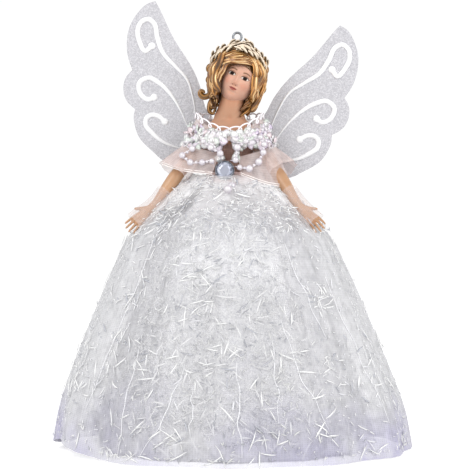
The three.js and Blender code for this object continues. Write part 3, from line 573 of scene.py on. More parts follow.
@dataclass(frozen=True)
class TinselNet(Finish):
    """White tulle packed with shredded film: a grey and white glitter with lavender pools."""

    bright: str = "#ffffff"
    dim: str = "#dedee2"
    cast: str = "#cfcde0"
    speck: float = 0.8

    def dress(self, add: Adder, place: Socket) -> dict:
        """Specks are cells of the film's own size over a soft cloud; the lavender sits low."""
        cells = add("TexVoronoi", {"Vector": place, "Scale": per_mm(self.speck)})
        shade = add("SeparateColor", {0: cells.outputs["Color"]})
        cloud = add("TexNoise", {"Vector": place, "Scale": per_mm(14), "Detail": 5.0})
        mixed = add("Math", {0: shade, 1: cloud}, operation="MULTIPLY")
        level = add("MapRange", {0: mixed, 1: 0.05, 2: 0.5})
        grey = add("Mix", {0: level, 6: self.dim, 7: self.bright}, data_type="RGBA")
        pools = add("TexNoise", {"Vector": place, "Scale": per_mm(30), "Detail": 1.0})
        height = add("SeparateXYZ", {0: place}).outputs[2]
        low = add("MapRange", {0: height, 1: 80 * MM, 2: 0.0, 3: 0.3})
        pooled = add("Math", {0: low, 1: pools}, operation="MULTIPLY")
        cover = add("MapRange", {0: pooled, 1: 0.34, 2: 0.58, 4: 0.5})
        colour = add("Mix", {0: cover, 6: grey, 7: self.cast}, data_type="RGBA")
        # Painted shade: the paint attribute darkens the net at front and back, and the flanks stay brighter
        packed = add("Attribute", attribute_name="paint").outputs["Fac"]
        net_colour_with_painted_shade = add("Mix", {0: packed, 6: "#000000", 7: colour}, data_type="RGBA")
        relief = add("Bump", {"Strength": 0.7, "Distance": 0.5 * MM, "Height": cells})
        return {"Base Color": net_colour_with_painted_shade, "Normal": relief, "Roughness": 0.4, "Sheen Weight": 0.8}


@dataclass(frozen=True)
class Painted(Finish):
    """Paint on a moulding: the colour comes from the piece's own painted attribute."""

    roughness: float = 0.45
    coat: float = 0.2
    metallic: float = 0.0
    flesh: float = 0.0
    grain: float = 1.5
    grain_depth: float = 0.03
    mirror: float = 0.5
    cover: float = 1.0
    # The thickness of a thin film in nanometres
    film: float = 0.0

    def dress(self, add: Adder, place: Socket) -> dict:
        """Attribute colour, a faint brush mottle in the roughness and relief, and a thin coat."""
        grain = add("TexNoise", {"Vector": place, "Scale": per_mm(self.grain), "Detail": 3.0})
        rough = add("MapRange", {0: grain, 1: 0.3, 2: 0.7, 3: self.roughness * 0.8, 4: self.roughness * 1.2})
        relief = add("Bump", {"Strength": 0.6, "Distance": self.grain_depth * MM, "Height": grain})
        inputs = {
            "Base Color": add("Attribute", attribute_name="paint"), "Roughness": rough, "Normal": relief,
            "Metallic": self.metallic, "Alpha": self.cover, "Specular IOR Level": self.mirror,
            "Coat Weight": self.coat, "Coat Roughness": 0.25}
        if self.flesh:
            inputs |= {"Subsurface Weight": self.flesh, **soft_flesh}
        if self.film:
            inputs |= {"Thin Film Thickness": self.film, "Thin Film IOR": 1.45}
        return inputs


@dataclass(frozen=True)
class MouldedSkin(Finish):
    """Flesh-coloured vinyl with a satin paint, warmer where it was sprayed."""

    base: str = "#c39975"
    warm: str = "#a27552"

    def dress(self, add: Adder, place: Socket) -> dict:
        """A broad noise warms the paint here and there, and a fine one breaks its gloss."""
        broad = add("TexNoise", {"Vector": place, "Scale": per_mm(9), "Detail": 2.0})
        share = add("MapRange", {0: broad, 1: 0.35, 2: 0.75, 4: 0.55})
        colour = add("Mix", {0: share, 6: self.base, 7: self.warm}, data_type="RGBA")
        fine = add("TexNoise", {"Vector": place, "Scale": per_mm(0.8), "Detail": 2.0})
        relief = add("Bump", {"Strength": 0.4, "Distance": 0.03 * MM, "Height": fine})
        return {"Base Color": colour, "Normal": relief, "Roughness": 0.42, "Coat Weight": 0.2,
                "Subsurface Weight": 0.15, **soft_flesh}


@dataclass(frozen=True)
class BrightMetal(Finish):
    """Plated wire or a pressed setting: bright, with fine rub marks."""

    base: str
    shadow: str
    roughness: float = 0.3

    def dress(self, add: Adder, place: Socket) -> dict:
        """Rub marks of a third of a millimetre change both the tone and the roughness."""
        marks = add("TexNoise", {"Vector": place, "Scale": per_mm(0.35), "Detail": 4.0})
        colour = add("Mix", {0: marks, 6: self.base, 7: self.shadow}, data_type="RGBA")
        rough = add("MapRange", {0: marks, 1: 0.3, 2: 0.7, 3: self.roughness * 0.6, 4: self.roughness * 1.5})
        return {"Base Color": colour, "Roughness": rough, "Metallic": 1.0}


@dataclass(frozen=True)
class PearlCoat(Finish):
    """Moulded bead with a dipped pearl lacquer: milky, with a soft sheen under a hard gloss."""

    base: str = "#e8e2e2"
    cast: str = "#cbc3cf"

    def dress(self, add: Adder, place: Socket) -> dict:
        """The lacquer drifts between cream and lilac over a few millimetres."""
        drift = add("TexNoise", {"Vector": place, "Scale": per_mm(3), "Detail": 1.0})
        colour = add("Mix", {0: drift, 6: self.base, 7: self.cast}, data_type="RGBA")
        return {"Base Color": colour, "Roughness": 0.22, "Metallic": 0.25, "Coat Weight": 1.0,
                "Coat Roughness": 0.05, "Thin Film Thickness": 380.0, "Thin Film IOR": 1.4}


@dataclass(frozen=True)
class GlitterSheet(Finish):
    """Foam-backed sheet under glued glitter: each fleck lies at its own angle."""

    bright: str = "#d6d5d9"
    dim: str = "#b6b5ba"
    # Painted shade that darkens the wings near their root behind the neck
    shaded: str = "#a89ea3"
    # Flecks are 0.2 mm; drawn at 0.45 mm, about a pixel, so that they show as a grain
    fleck: float = 0.45
    # Where the two wings meet behind the neck, in the row frame
    root: tuple[float, float, float] = (0.0, 13.8 * MM, 170 * MM)

    def dress(self, add: Adder, place: Socket) -> dict:
        """One cell is one fleck with its own tone and tilt; near the root by the neck a painted shade
        darkens it.
        """
        cells = add("TexVoronoi", {"Vector": place, "Scale": per_mm(self.fleck)})
        parts = add("SeparateColor", {0: cells.outputs["Color"]}).outputs
        sharp = add("Math", {0: parts[0], 1: 1.6}, operation="POWER")
        tone = add("Mix", {0: sharp, 6: self.dim, 7: self.bright}, data_type="RGBA")
        cloud = add("TexNoise", {"Vector": place, "Scale": per_mm(18), "Detail": 2.0})
        near = add("VectorMath", {0: place, 1: self.root}, operation="DISTANCE")
        root = add("MapRange", {0: near, 1: 38 * MM, 2: 14 * MM, 4: 0.08})
        soft = add("Math", {0: root, 1: cloud}, operation="MULTIPLY")
        colour = add("Mix", {0: soft, 6: tone, 7: self.shaded}, data_type="RGBA")
        relief = add("Bump", {"Strength": 0.3, "Distance": 0.15 * MM, "Height": parts[1]})
        return {"Base Color": colour, "Normal": relief, "Roughness": 0.35, "Metallic": 0.2}


@dataclass(frozen=True)
class ReliefPaint(Finish):
    """Raised puff paint with fine glitter strewn on it while wet."""

    base: str = "#fcfcfa"
    hollow: str = "#ececf0"
    fleck: float = 0.4

    def dress(self, add: Adder, place: Socket) -> dict:
        """A sugar-like relief on a nearly white paint."""
        cells = add("TexVoronoi", {"Vector": place, "Scale": per_mm(self.fleck)})
        colour = add("Mix", {0: cells, 6: self.base, 7: self.hollow}, data_type="RGBA")
        relief = add("Bump", {"Strength": 0.35, "Distance": 0.1 * MM, "Height": cells})
        return {"Base Color": colour, "Normal": relief, "Roughness": 0.4}


@dataclass(frozen=True)
class GreyCard(Finish):
    """Rolled grey board: a matt felt of paper fibres."""

    base: str = "#d9d5cd"
    fibre: str = "#bdb8ae"

    def dress(self, add: Adder, place: Socket) -> dict:
        """Fibres of about a millimetre in a slightly uneven grey."""
        fibres = add("TexNoise", {"Vector": place, "Scale": per_mm(1.1), "Detail": 6.0})
        colour = add("Mix", {0: fibres, 6: self.base, 7: self.fibre}, data_type="RGBA")
        relief = add("Bump", {"Strength": 0.3, "Distance": 0.05 * MM, "Height": fibres})
        return {"Base Color": colour, "Normal": relief, "Roughness": 0.9}


# White, see-through where it lies flat, with a lavender bloom towards the hem
overskirt_organza = Organza("woven_white_organza", cloth="#dcdcdf", cover=0.7, cast="#bebbd3", cast_top=62,
                            flat="#ebeaee")
# A brighter white, as a puffed cloth catches the light on every fold
puffed_organza = Organza("puffed_white_organza", cloth="#fdfbfd", cover=0.5)
# A pale rose haze that lets the arm or the chest show through
blush_organza = Organza("woven_blush_organza", cloth="#ead8d4", cover=0.42)
# The same haze over white lace, so lighter
collar_organza = Organza("collar_blush_organza", cloth="#f1e2df", cover=0.52)
# One layer alone, hardly there
veil_organza = Organza("single_blush_organza", cloth="#efe0dc", cover=0.27)
# Crushed in many layers, nearly solid and milky pink
blush_organza_dense = Organza("gathered_blush_organza", cloth="#f6dfdb", cover=0.9)
# Stretched under the collar, a warm brown that is painted shade, for the shade that falls there
shaded_organza = Organza("doubled_blush_organza", cloth="#a9857a", cover=0.75)
# A plain bluish white ground with a barely seen grain
lining_cloth = TinselNet("woven_white_lining", bright="#f6f6f9", dim="#e4e4ea", speck=2.5, cast="#e3e1ec")
# A sparkling grey and white tangle
packed_net = TinselNet("tulle_with_shredded_film")
# Glossy slivers, white, with some painted grey that stands for strands in shade
film_strands = Painted("shredded_film", roughness=0.25, coat=0.5, grain=0.6)
# Soft matt skin with crisp brushed features and hardly a highlight
face_paint = Painted("painted_vinyl_face", roughness=0.5, coat=0.0, flesh=0.12, grain=0.8, mirror=0.15)
# Satin gold with metal-bright painted highlights on every ridge and brown painted shade between them
hair_paint = Painted("brushed_gold_hair_paint", roughness=0.34, coat=0.35, metallic=0.3, grain=0.5,
                     grain_depth=0.08)
# Cream leaves, partly their own paint and partly painted highlight, over brown painted shade on the faces
# towards the hair
leaf_paint = Painted("cream_and_gold_leaf_paint", roughness=0.35, coat=0.4, metallic=0.15, grain=0.5)
# Wet-looking white that turns rose, lilac and green with the angle
sequin_film = Painted("iridescent_cut_film", roughness=0.14, coat=1.0, metallic=0.1, grain=1.0, cover=0.9,
                      film=420.0)
# Hard bright facets, each painted its own grey from near white to dark, a painted reflection
cut_stone = Painted("foil_backed_cut_acrylic", roughness=0.06, coat=1.0, metallic=0.45, grain=2.0,
                    grain_depth=0.0)
# A smooth pale line with a thin gleam
edge_wire = Painted("clear_nylon_edge", roughness=0.2, coat=0.6, grain=0.6)
# Warm even flesh with a soft sheen
vinyl_skin = MouldedSkin("moulded_vinyl_arm")
# Mid-grey steel that mirrors the white room with dark rims
plated_wire = BrightMetal("bright_plated_wire", base="#a3a6aa", shadow="#5e6166")
# Silver with darkened hollows behind the stone
dark_setting = BrightMetal("blackened_setting", base="#b9bcc4", shadow="#7d818b")
# Milky cream and lilac with one sharp highlight
pearl_lacquer = PearlCoat("dipped_pearl_lacquer")
# A dry silver grain that glitters all over
silver_glitter = GlitterSheet("silver_glitter_sheet")
# Sugar white, raised and slightly rough
white_relief = ReliefPaint("white_puff_paint")
# Dull fibrous grey, as on a cardboard tube
rolled_board = GreyCard("rolled_grey_board")


shoulder_half_width = 13.6
torso_rise = 36.0
neck_length = 12.0
neck_lean = 2.2
shoulder_height = torso_rise * 0.68
waist_height = 131.0
waist_shift = 1.25


@dataclass
class Body:
    """The torso's width, front depth and back depth up from the waist, in millimetres."""

    rows: Array = field(default_factory=lambda: np.array([
        [-8, 7.2, 7.2, 7.2], [4.2, 7.2, 6.84, 6.48], [7.2, 7.2, 6.05, 6.05],
        [12.96, 9.6, 7.27, 5.98], [18, 11.6, 9.2, 6.39], [21.96, 12.91, 8.8, 6.7], [24.84, 13.6, 7.6, 6.8],
        [28.08, 12.91, 6.6, 6.5], [30.96, 10.59, 5.6, 6.0], [33.48, 8.2, 4.8, 5.51],
        [36, 7.3, 4.7, 5.26], [40.2, 6.3, 4.82, 5.04], [48, 5.9, 5.04, 5.04]]))

    def ring(self, height: Array, turn: Array, grow: Array) -> Array:
        """Points round the body: ((w + g) cos a, (d + g) sin a, h), with d the front's or the back's depth.

        Args:
            height: The height of each point.
            turn: Its angle, 270 degrees at the front.
            grow: How far it stands off.

        Returns:
            The points.
        """
        width, front, back = (np.interp(height, self.rows[:, 0], self.rows[:, k]) for k in (1, 2, 3))
        deep = np.where(np.sin(turn) < 0, front, back)
        return xyz((width + grow) * np.cos(turn), (deep + grow) * np.sin(turn), height)


body = Body()


def film(p: Array, beside: Array, above: Array, comb: Array, length: tuple[float, float], width: float,
         loose: tuple[float, float], rng: np.random.Generator) -> list[Skin]:
    """Cut film: flat three-span bands with narrow ends, p + s L d + bend (1 - 4 s^2) n for s in -1/2 to 1/2.

    Args:
        p: Where each strand lies on the cloth.
        beside: A point beside it.
        above: A point above it.
        comb: The angle that the strands follow, give or take.
        length: The shortest and longest strand in millimetres.
        width: Half the widest part of a band.
        loose: How much strands tilt out of the cloth, and how far they stand off it at most.
        rng: Where chance comes from.

    Returns:
        A closed skin for each strand, none of which reaches below the floor.
    """
    count = len(p)
    across, up = unit(beside - p), unit(above - p)
    out = unit(np.cross(across, up))
    heading = comb + rng.normal(0, 0.75, count)
    tilt = rng.normal(0, loose[0], count)
    direction = unit(across * np.cos(heading)[:, None] + up * np.sin(heading)[:, None] + out * tilt[:, None])
    long = length[0] + (length[1] - length[0]) * np.clip(rng.gamma(2.2, 0.5, count) / 3.2, 0, 1)
    middle = p + out * (0.2 + loose[1] * rng.beta(1.2, 3.5, count))[:, None]
    bend = rng.normal(0, 0.035, count) * long
    s = np.array([-0.5, -0.2, 0.2, 0.5])
    line = carried(middle, direction, unit(np.cross(direction, out)), s * long[:, None],
                   (1 - 4 * s**2) * bend[:, None])
    side = unit(np.cross(direction, unit(out + rng.normal(0, 0.35, (count, 3)))))
    thin = np.cross(side, direction)
    taper = np.array([0.35, 1, 1, 0.35])[None, :, None, None] * width
    corner = np.array([[1, 0], [0, 1], [-1, 0], [0, -1]], float)
    section = corner[:, :1] * side[:, None, :] + corner[:, 1:] * 0.3 * thin[:, None, :]
    points = line[:, :, None] + taper * section[:, None]
    points[..., 2] -= np.minimum(points[..., 2].min((1, 2)) + waist_height - 0.4, 0)[:, None, None]
    # The grey tone, given to some short strands at random, is painted shade for strands that lie in shadow
    tones = np.array([plain_rgb(code) for code in ("#ffffff", "#ffffff", "#ffffff", "#f4f4f8", "#c2c4cc")])
    tint = tones[np.where(long > 7, 0, rng.integers(0, len(tones), count))]
    # Strands that face the viewer lie in shade, the long ones less
    facing = smooth(-unit(p * np.array([1, 1, 0]))[:, 1], 0.7, 0.98) * smooth(-p[:, 2], 15, 40)
    tint = tint * (1 - np.where(long > 5, 0.06, 0.28) * facing)[:, None]
    return [Skin(one, tint=np.broadcast_to(tone, (*one.shape[:2], 3))) for one, tone in zip(points, tint)]


@dataclass
class Skirt:
    """Sheer overskirt, packed net and lining, all on one profile with the net drawn in under it."""

    hem_radius: float = 88.0
    band_radius: float = 10.1
    fold_depth: float = 2.4
    fold_count: int = 12
    net_draw_in: float = 22.0
    floor_gap: float = 0.6
    hem_lift: float = 6.5
    lift_azimuth: float = 197.0
    strand_count: int = 5200
    # Radius, height and share of the net's draw-in from the hem to the top of the waist band
    stations: Array = field(default_factory=lambda: np.array([
        [88, 0, 1], [84.5, 18.7, 0.9], [76.2, 43, 0.82], [67.7, 64.5, 0.74], [57.9, 88, 0.6],
        [47.5, 107.8, 0.5], [37.7, 115.9, 0.32], [25.1, 123.4, 0.13], [16.2, 128.3, 0.03],
        [10.1, 131, 0], [10.1, 137, 0]]))

    def point(self, share: Array, azimuth: Array, depth: float, draw_in: float, crimp: float = 0.0,
              lifted: float = 1.0) -> Array:
        """A point of the skirt: the profile less the draw-in, plus folds, wrinkles and a lifted corner.

        Args:
            share: How far up the profile: 0 is the hem and 1 the top of the band.
            azimuth: The direction in radians.
            depth: How far inside the overskirt.
            draw_in: How far the layer's hem is drawn in.
            crimp: How deep its wrinkles are.
            lifted: How much of the hem's lift it takes.

        Returns:
            The points.
        """
        curve = spline(self.stations, 400)
        at = np.linspace(0, 1, 400)
        radius, height, draw = (np.interp(share, at, curve[:, k]) for k in range(3))
        slope = np.gradient(curve[:, :2], axis=0)
        normal = unit(np.stack([slope[:, 1], -slope[:, 0]], -1))
        out, up = np.interp(share, at, normal[:, 0]), np.interp(share, at, normal[:, 1])
        fullness = np.clip((radius - self.band_radius) / (self.hem_radius - self.band_radius), 0, 1)
        fold = self.fold_count * azimuth + 0.5 * np.sin(2 * azimuth)
        wave = 0.75 * np.cos(fold) + 0.25 * np.cos(5 * azimuth + 1)
        small = (np.cos(41 * azimuth + 3 * np.sin(3 * azimuth) + 5 * share) * (0.3 + 0.7 * share)
                 + 0.6 * np.cos(67 * azimuth - 4 * share + 2 * np.sin(2 * azimuth)))
        wrinkled = crimp * small * smooth(1 - share, 0.03, 0.25)
        distance = radius - depth * out - draw_in * draw + self.fold_depth * fullness * wave + wrinkled
        corner = np.maximum(0, np.cos(azimuth - math.radians(self.lift_azimuth))) ** 18
        lift = self.floor_gap + self.hem_lift * lifted * corner
        raised = height - depth * up + lift * (1 - height / self.stations[-1, 1])
        lean = waist_shift * (1 - smooth(height, 0, waist_height))
        return xyz(lean + distance * np.cos(azimuth), distance * np.sin(azimuth), raised - waist_height)

    def layer(self, rows: int, columns: int, depth: float, draw_in: float, crimp: float) -> Skin:
        """One open layer, whose paint thins the overskirt and gives it a lighter tone there as painted
        light, and darkens the others at front and back as painted shade.

        Args:
            rows: How many points go up the layer.
            columns: How many go round it.
            depth: How far inside the overskirt.
            draw_in: How far its hem is drawn in: 0 for the overskirt.
            crimp: How deep its wrinkles are.

        Returns:
            The layer.
        """
        share, azimuth = round_grid(rows, columns)
        grid = self.point(share, azimuth, depth, draw_in, crimp, 0.1 if draw_in else 1.0)
        facing = smooth(np.abs(np.sin(azimuth + 0.12 * np.sin(5 * azimuth))), 0.42, 1.0)
        if draw_in:
            # Painted shade: the net and the lining are darker at front and back, low down
            full = 1 - 0.16 * facing * smooth(-share, -0.62, -0.45)
        else:
            low = 0.85 + 0.15 * smooth(-share, -0.35, -0.1)
            full = (1 - 0.62 * facing) * low + 0.28 * smooth(-share, -0.13, -0.02)
        return Skin(grid, capped=False, tint=veiled(full), size=(TAU * 60, 165))

    def strands(self, count: int, length: tuple[float, float], width: float, stand_off: float, seed: int,
                draw_in: float, clumps: int) -> list[Skin]:
        """Film strands strewn over one layer and combed by a slow wave, or caught in clumps.

        Args:
            count: How many strands there are.
            length: The shortest and longest in millimetres.
            width: Half the widest part of a band.
            stand_off: How far they stand off the layer at most.
            seed: The seed of the strewing.
            draw_in: How far the layer's hem is drawn in: 0 for the overskirt.
            clumps: How many clumps they lie in, each combed one way, or 0.

        Returns:
            A closed skin for each strand.
        """
        rng = np.random.default_rng(seed)
        share = 1.12 * (1 - np.sqrt(rng.uniform(0.012, 1.0, count)))
        azimuth = rng.uniform(0, TAU, count)
        if clumps:
            clump = rng.integers(0, clumps, count)
            share = share[clump] + rng.normal(0, 0.022, count)
            azimuth = azimuth[clump] + rng.normal(0, 0.075, count)
        share = np.clip(share, 0.02, 0.93)
        depth, lifted = (0.9, 0.1) if draw_in else (-0.1, 1.0)
        spots = (self.point(share + up, azimuth + turn, depth, draw_in, 0.0, lifted)
                 for up, turn in ((0, 0), (0, 0.004), (0.004, 0)))
        comb = 1.6 * np.cos(3 * azimuth + 9 * share) + 1.1 * np.sin(7 * azimuth - 16 * share) + 3 * share
        if clumps:
            comb = rng.normal(0, 0.8, clumps)[clump]
        return film(*spots, comb, length, width, (0.16 if draw_in else 0.05, stand_off), rng)

    def selvedge(self, start: float, end: float, top: float, foot: float, seed: int) -> Skin:
        """The nylon edge of an organza panel: a thin thread down the skirt that drifts a little.

        Args:
            start: Its azimuth at the top, in degrees.
            end: Its azimuth at the foot.
            top: The share of the profile at its top.
            foot: The share at its foot.
            seed: The phase of its drift.

        Returns:
            The thread.
        """
        t = np.linspace(0, 1, 60)
        drift = 0.7 * np.sin((2.2 + 0.3 * seed) * t * math.pi + seed) + 0.25 * np.sin(23 * t + 2 * seed)
        azimuth = np.radians(start + (end - start) * t**1.4 + drift * np.sin(math.pi * t))
        path = self.point(top + (foot - top) * t, azimuth, -0.3, 0)
        out = unit(path * np.array([1, 1, 0]) + np.array([0, 0, 20]))
        return painted(tube(path, out, 0.09 + 0.1 * np.sin(math.pi * t), 0.12, 6), "#f6f6f9")

    def tail(self, start: float, drift: float, length: float, width: float) -> Skin:
        """A ribbon tail that lies on the dome, rolled a little across and faded towards the sash.

        Args:
            start: Its azimuth at the sash, in degrees.
            drift: How many degrees it would drift over the whole profile.
            length: The share of the profile that it covers.
            width: Half its width in degrees at the foot.

        Returns:
            The sheet.
        """
        top = 0.955
        share = np.linspace(top, top - length, 40)[:, None]
        across = np.linspace(-1, 1, 13)[None, :]
        flare = 0.45 + 0.55 * smooth(top - share, 0, 0.1)
        narrow = 50 / np.interp(share, [0.6, 0.8, top], [52, 36, 11])
        azimuth = (math.radians(start) + math.radians(drift) * (top - share)
                   + math.radians(width) * flare * across * narrow)
        roll = 0.75 + 0.35 * np.cos(2.5 * across + 9 * share)
        fade = 0.45 * smooth(share, 0.66, 0.8) + 0 * across
        on, off = (self.point(share + 0 * across, azimuth, -stand_off, 0) for stand_off in (0.0, 1.0))
        return Skin(on + (off - on) * roll[..., None], closed=False, capped=False, tint=veiled(fade),
                    size=(10, 30))

    def build(self, shop: Workshop) -> None:
        """Makes the three layers, the strands, the selvedges and the ribbon tails."""
        drawn = self.net_draw_in
        shop.cloth("organza_overskirt", self.layer(96, 420, 0.25, 0, 0.45), overskirt_organza, "organza",
                   Held.GATHERED, ["packed_net", "support_cone"], replaces=["overskirt"])
        shop.cloth("packed_net", self.layer(90, 360, 1.3, drawn, 0.5), packed_net, "tinsel", Held.GATHERED,
                   ["lining_skirt"], 0.4, replaces=["tinsel_net"])
        shop.cloth("lining_skirt", self.layer(50, 240, 2.4, drawn, 0.1), lining_cloth, "lining",
                   Held.GATHERED, ["support_cone"], 0.3, replaces=["underskirt"])
        for name, *settings in (
                ("short_film_strands", self.strand_count, (1.4, 7.0), 0.3, 7.0, 5, drawn, 0),
                ("long_film_strands", 800, (4.5, 13.0), 0.5, 12.0, 11, drawn, 0),
                ("outer_film_specks", 2600, (0.7, 4.0), 0.27, 1.0, 17, 0.0, 0),
                ("outer_film_strands", 190, (3.5, 13.0), 0.42, 1.4, 23, 0.0, 0),
                ("clumped_film_strands", 800, (2.5, 12.0), 0.36, 1.6, 29, 0.0, 120)):
            shop.piece(name, self.strands(*settings), film_strands, "tinsel")
        # Azimuth at the top and at the foot, then the shares of the profile between which it shows
        edges = [(223, 215, 0.7, 0.13), (234, 233, 0.34, 0.01), (253, 241, 0.29, 0.02),
                 (257, 257, 0.22, 0.08), (272, 273, 0.3, 0.03), (291, 301, 0.42, 0.1),
                 (286, 285, 0.36, 0.12), (300, 310, 0.66, 0.36), (322, 330, 0.55, 0.1),
                 (160, 154, 0.7, 0.03), (128, 133, 0.5, 0.02), (100, 96, 0.72, 0.1),
                 (74, 80, 0.6, 0.02), (40, 46, 0.7, 0.1), (8, 14, 0.5, 0.02)]
        threads = [self.selvedge(*edge, seed=k) for k, edge in enumerate(edges)]
        shop.piece("organza_selvedges", threads, edge_wire, "organza")
        for side, start, drift in (("left", 255, -70), ("right", 283, 85)):
            shop.cloth(f"{side}_sheer_tail", self.tail(start, drift, 0.3, 6.0), puffed_organza,
                       "blush_organza", Held.DRAPED, ["organza_overskirt"], replaces=[f"{side}_ribbon_tail"])


head_middle = np.array([5.2, -0.5, 53.9])
head_turn = turn_matrix(Axis.Y, 25) @ turn_matrix(Axis.Z, -6)
hair_middle = head_middle + np.array([-1.4, 2.0, 1.4])
hair_turn = turn_matrix(Axis.Y, 10)


@dataclass
class Face:
    """The doll's moulded and painted head on its neck and chest."""

    half_width: float = 9.1
    half_depth: float = 9.0
    half_height: float = 12.4
    eye_half: float = 1.9
    drop: float = 1.7
    eye_apart: float = 3.5
    stem_radius: float = 6.2
    socket_half: float = 12.24

    def relief(self, x: Array, z: Array) -> Array:
        """How far the face stands out from the egg: the bridge of the nose and a sum of bells.

        Args:
            x: Across the face in millimetres.
            z: Up the face in millimetres, 0 at the eyes.

        Returns:
            Millimetres ahead of the egg.
        """
        # Each bell's height, then its middle and spread across, on both sides, and up
        bells = [
            # Nose: tip, wings and the dip under it
            (1.75, 0, 1.1, -3.7, 1.15), (0.5, 1.25, 0.55, -4.1, 0.65), (-0.35, 0, 1.4, -5.2, 0.45),
            # Eyes: socket, ball and the fold of the lid
            (-0.95, self.eye_apart - 0.2, 2.1, 0.25, 1.5), (0.75, self.eye_apart, 1.35, -0.05, 0.85),
            (0.16, self.eye_apart, 1.7, 1.0, 0.25),
            # Mouth: both lips, the line between them, the dip below and the groove above
            (0.5, 0, 1.9, -6.05, 0.42), (0.62, 0, 1.5, -7.15, 0.5), (-0.3, 0, 1.9, -6.58, 0.17),
            (-0.3, 0, 2.2, -8.4, 0.6), (-0.12, 0, 0.35, -5.4, 0.4),
            # Brow, chin and cheeks
            (0.4, 3.4, 2.6, 2.5, 0.9), (0.7, 0, 2.4, -10.6, 1.6), (0.4, 4.4, 2.2, -3.6, 2.2)]
        side = np.abs(x)
        bridge = 0.9 * bump(x, 0, 0.95) * smooth(z, -4.2, -1.5) * smooth(-z, -2.6, -0.6)
        return bridge + sum(
            high * bump(side, at, wide) * bump(z, up, tall) for high, at, wide, up, tall in bells)

    def coats(self, x: Array, z: Array) -> list[tuple[str, Array]]:
        """The sprayed and brushed colours: blush, lids, eyes, lashes, brows and lips.

        Args:
            x: Across the face in millimetres.
            z: Up the face in millimetres, 0 at the eyes.

        Returns:
            The colour and the share of each coat.
        """
        side = np.abs(x)
        eye_x = (side - self.eye_apart) / self.eye_half
        round_eye = np.sqrt(np.clip(1 - eye_x**2, 0, 1))
        upper, lower = 0.95 * round_eye * (1 + 0.12 * eye_x), -0.72 * round_eye
        inside = smooth(upper - z, 0, 0.1) * smooth(z - lower, 0, 0.1) * (np.abs(eye_x) < 1)
        iris = np.hypot(side - self.eye_apart - 0.03, z - 0.08)
        lash = bump(z, upper + 0.1, 0.3) * (np.abs(eye_x) < 1.1)
        flick = bump(z, 0.35 * eye_x, 0.16) * smooth(eye_x, 0.85, 1.0) * smooth(-eye_x, -1.35, -1.15)
        arch = 2.35 + 0.55 * np.sin(np.clip((side - 1.5) / 4.3, 0, 1) * math.pi) - 0.06 * (side - 1.5)
        lip_x = np.clip(1 - (x / 2.15) ** 2, 0, 1)
        bow = -6.55 + (0.72 - 0.22 * bump(x, 0, 0.35)) * lip_x
        lips = smooth(bow - z, 0, 0.16) * smooth(z + 6.6 + 0.95 * lip_x, 0, 0.2) * (side < 2.15)
        nostril = np.hypot((side - 0.8) / 1.4, z + 4.75)
        return [
            # Blush on the cheeks and the tip of the nose, shade on the lids and under the lip
            ("#d4917a", 0.55 * bump(side, 4.6, 2.0) * bump(z, -3.9, 1.9)),
            ("#cf9074", 0.35 * bump(x, 0, 1.2) * bump(z, -4.0, 0.9)),
            ("#c08a6c", 0.5 * bump(side, 3.5, 1.9) * bump(z, 1.1, 0.75)),
            ("#c58d6f", 0.5 * bump(z, -9.0, 0.6) * bump(x, 0, 2.0)),
            # White of the eye, iris with its lighter foot, and pupil
            ("#e0d3c9", inside),
            ("#20120a", inside * smooth(-iris, -1.12, -1.02)),
            ("#4b2c17", inside * smooth(-iris, -0.88, -0.6) * smooth(-z, -0.05, 0.4)),
            ("#080504", inside * smooth(-iris, -0.62, -0.5)),
            # Lashes, lower lid, crease and brow
            ("#2a1810", 0.95 * np.maximum(lash, flick)),
            ("#5a3526", 0.75 * bump(z, lower - 0.06, 0.12) * (np.abs(eye_x) < 0.95)),
            ("#8f5d45", 0.5 * bump(z, upper + 0.62, 0.16) * (np.abs(eye_x) < 1.0)),
            ("#63401f", 0.95 * bump(z, arch, 0.36) * smooth(side, 1.4, 2.0) * smooth(-side, -6.0, -4.8)),
            # Lips, their highlight and the line between them, and the nostrils
            ("#a3544c", 0.95 * lips),
            ("#d0897f", 0.3 * lips * bump(z, -7.1, 0.22) * bump(x, 0, 0.9)),
            ("#6e2f2a", 0.85 * bump(z, -6.58, 0.11) * (side < 1.85)),
            ("#8a4f3b", 0.75 * smooth(-nostril, -0.34, -0.16))]

    def head(self) -> Skin:
        """The egg of the head, finer at the front, with relief and paint."""
        rows = 230
        t = (np.arange(rows) + 0.5)[:, None] / rows
        fall = math.pi * (t - 0.03 * np.sin(TAU * t))
        even = round_angles(300)
        turn = even - 0.62 * np.sin(even)
        across, ahead, up = np.broadcast_arrays(
            np.sin(fall) * np.sin(turn), np.sin(fall) * np.cos(turn), np.cos(fall))
        jaw = np.maximum(0, -up)
        x = self.half_width * across * (1 - 0.3 * jaw * jaw)
        z = self.half_height * up - self.drop
        front = smooth(ahead, 0.02, 0.25)
        y = -self.half_depth * ahead * (1 - 0.12 * jaw * jaw) - front * self.relief(x, z)
        coats = ((code, front * cover) for code, cover in self.coats(x, z))
        return painted(xyz(x, y, z) @ head_turn.T + head_middle, "#d8aa94", *coats)

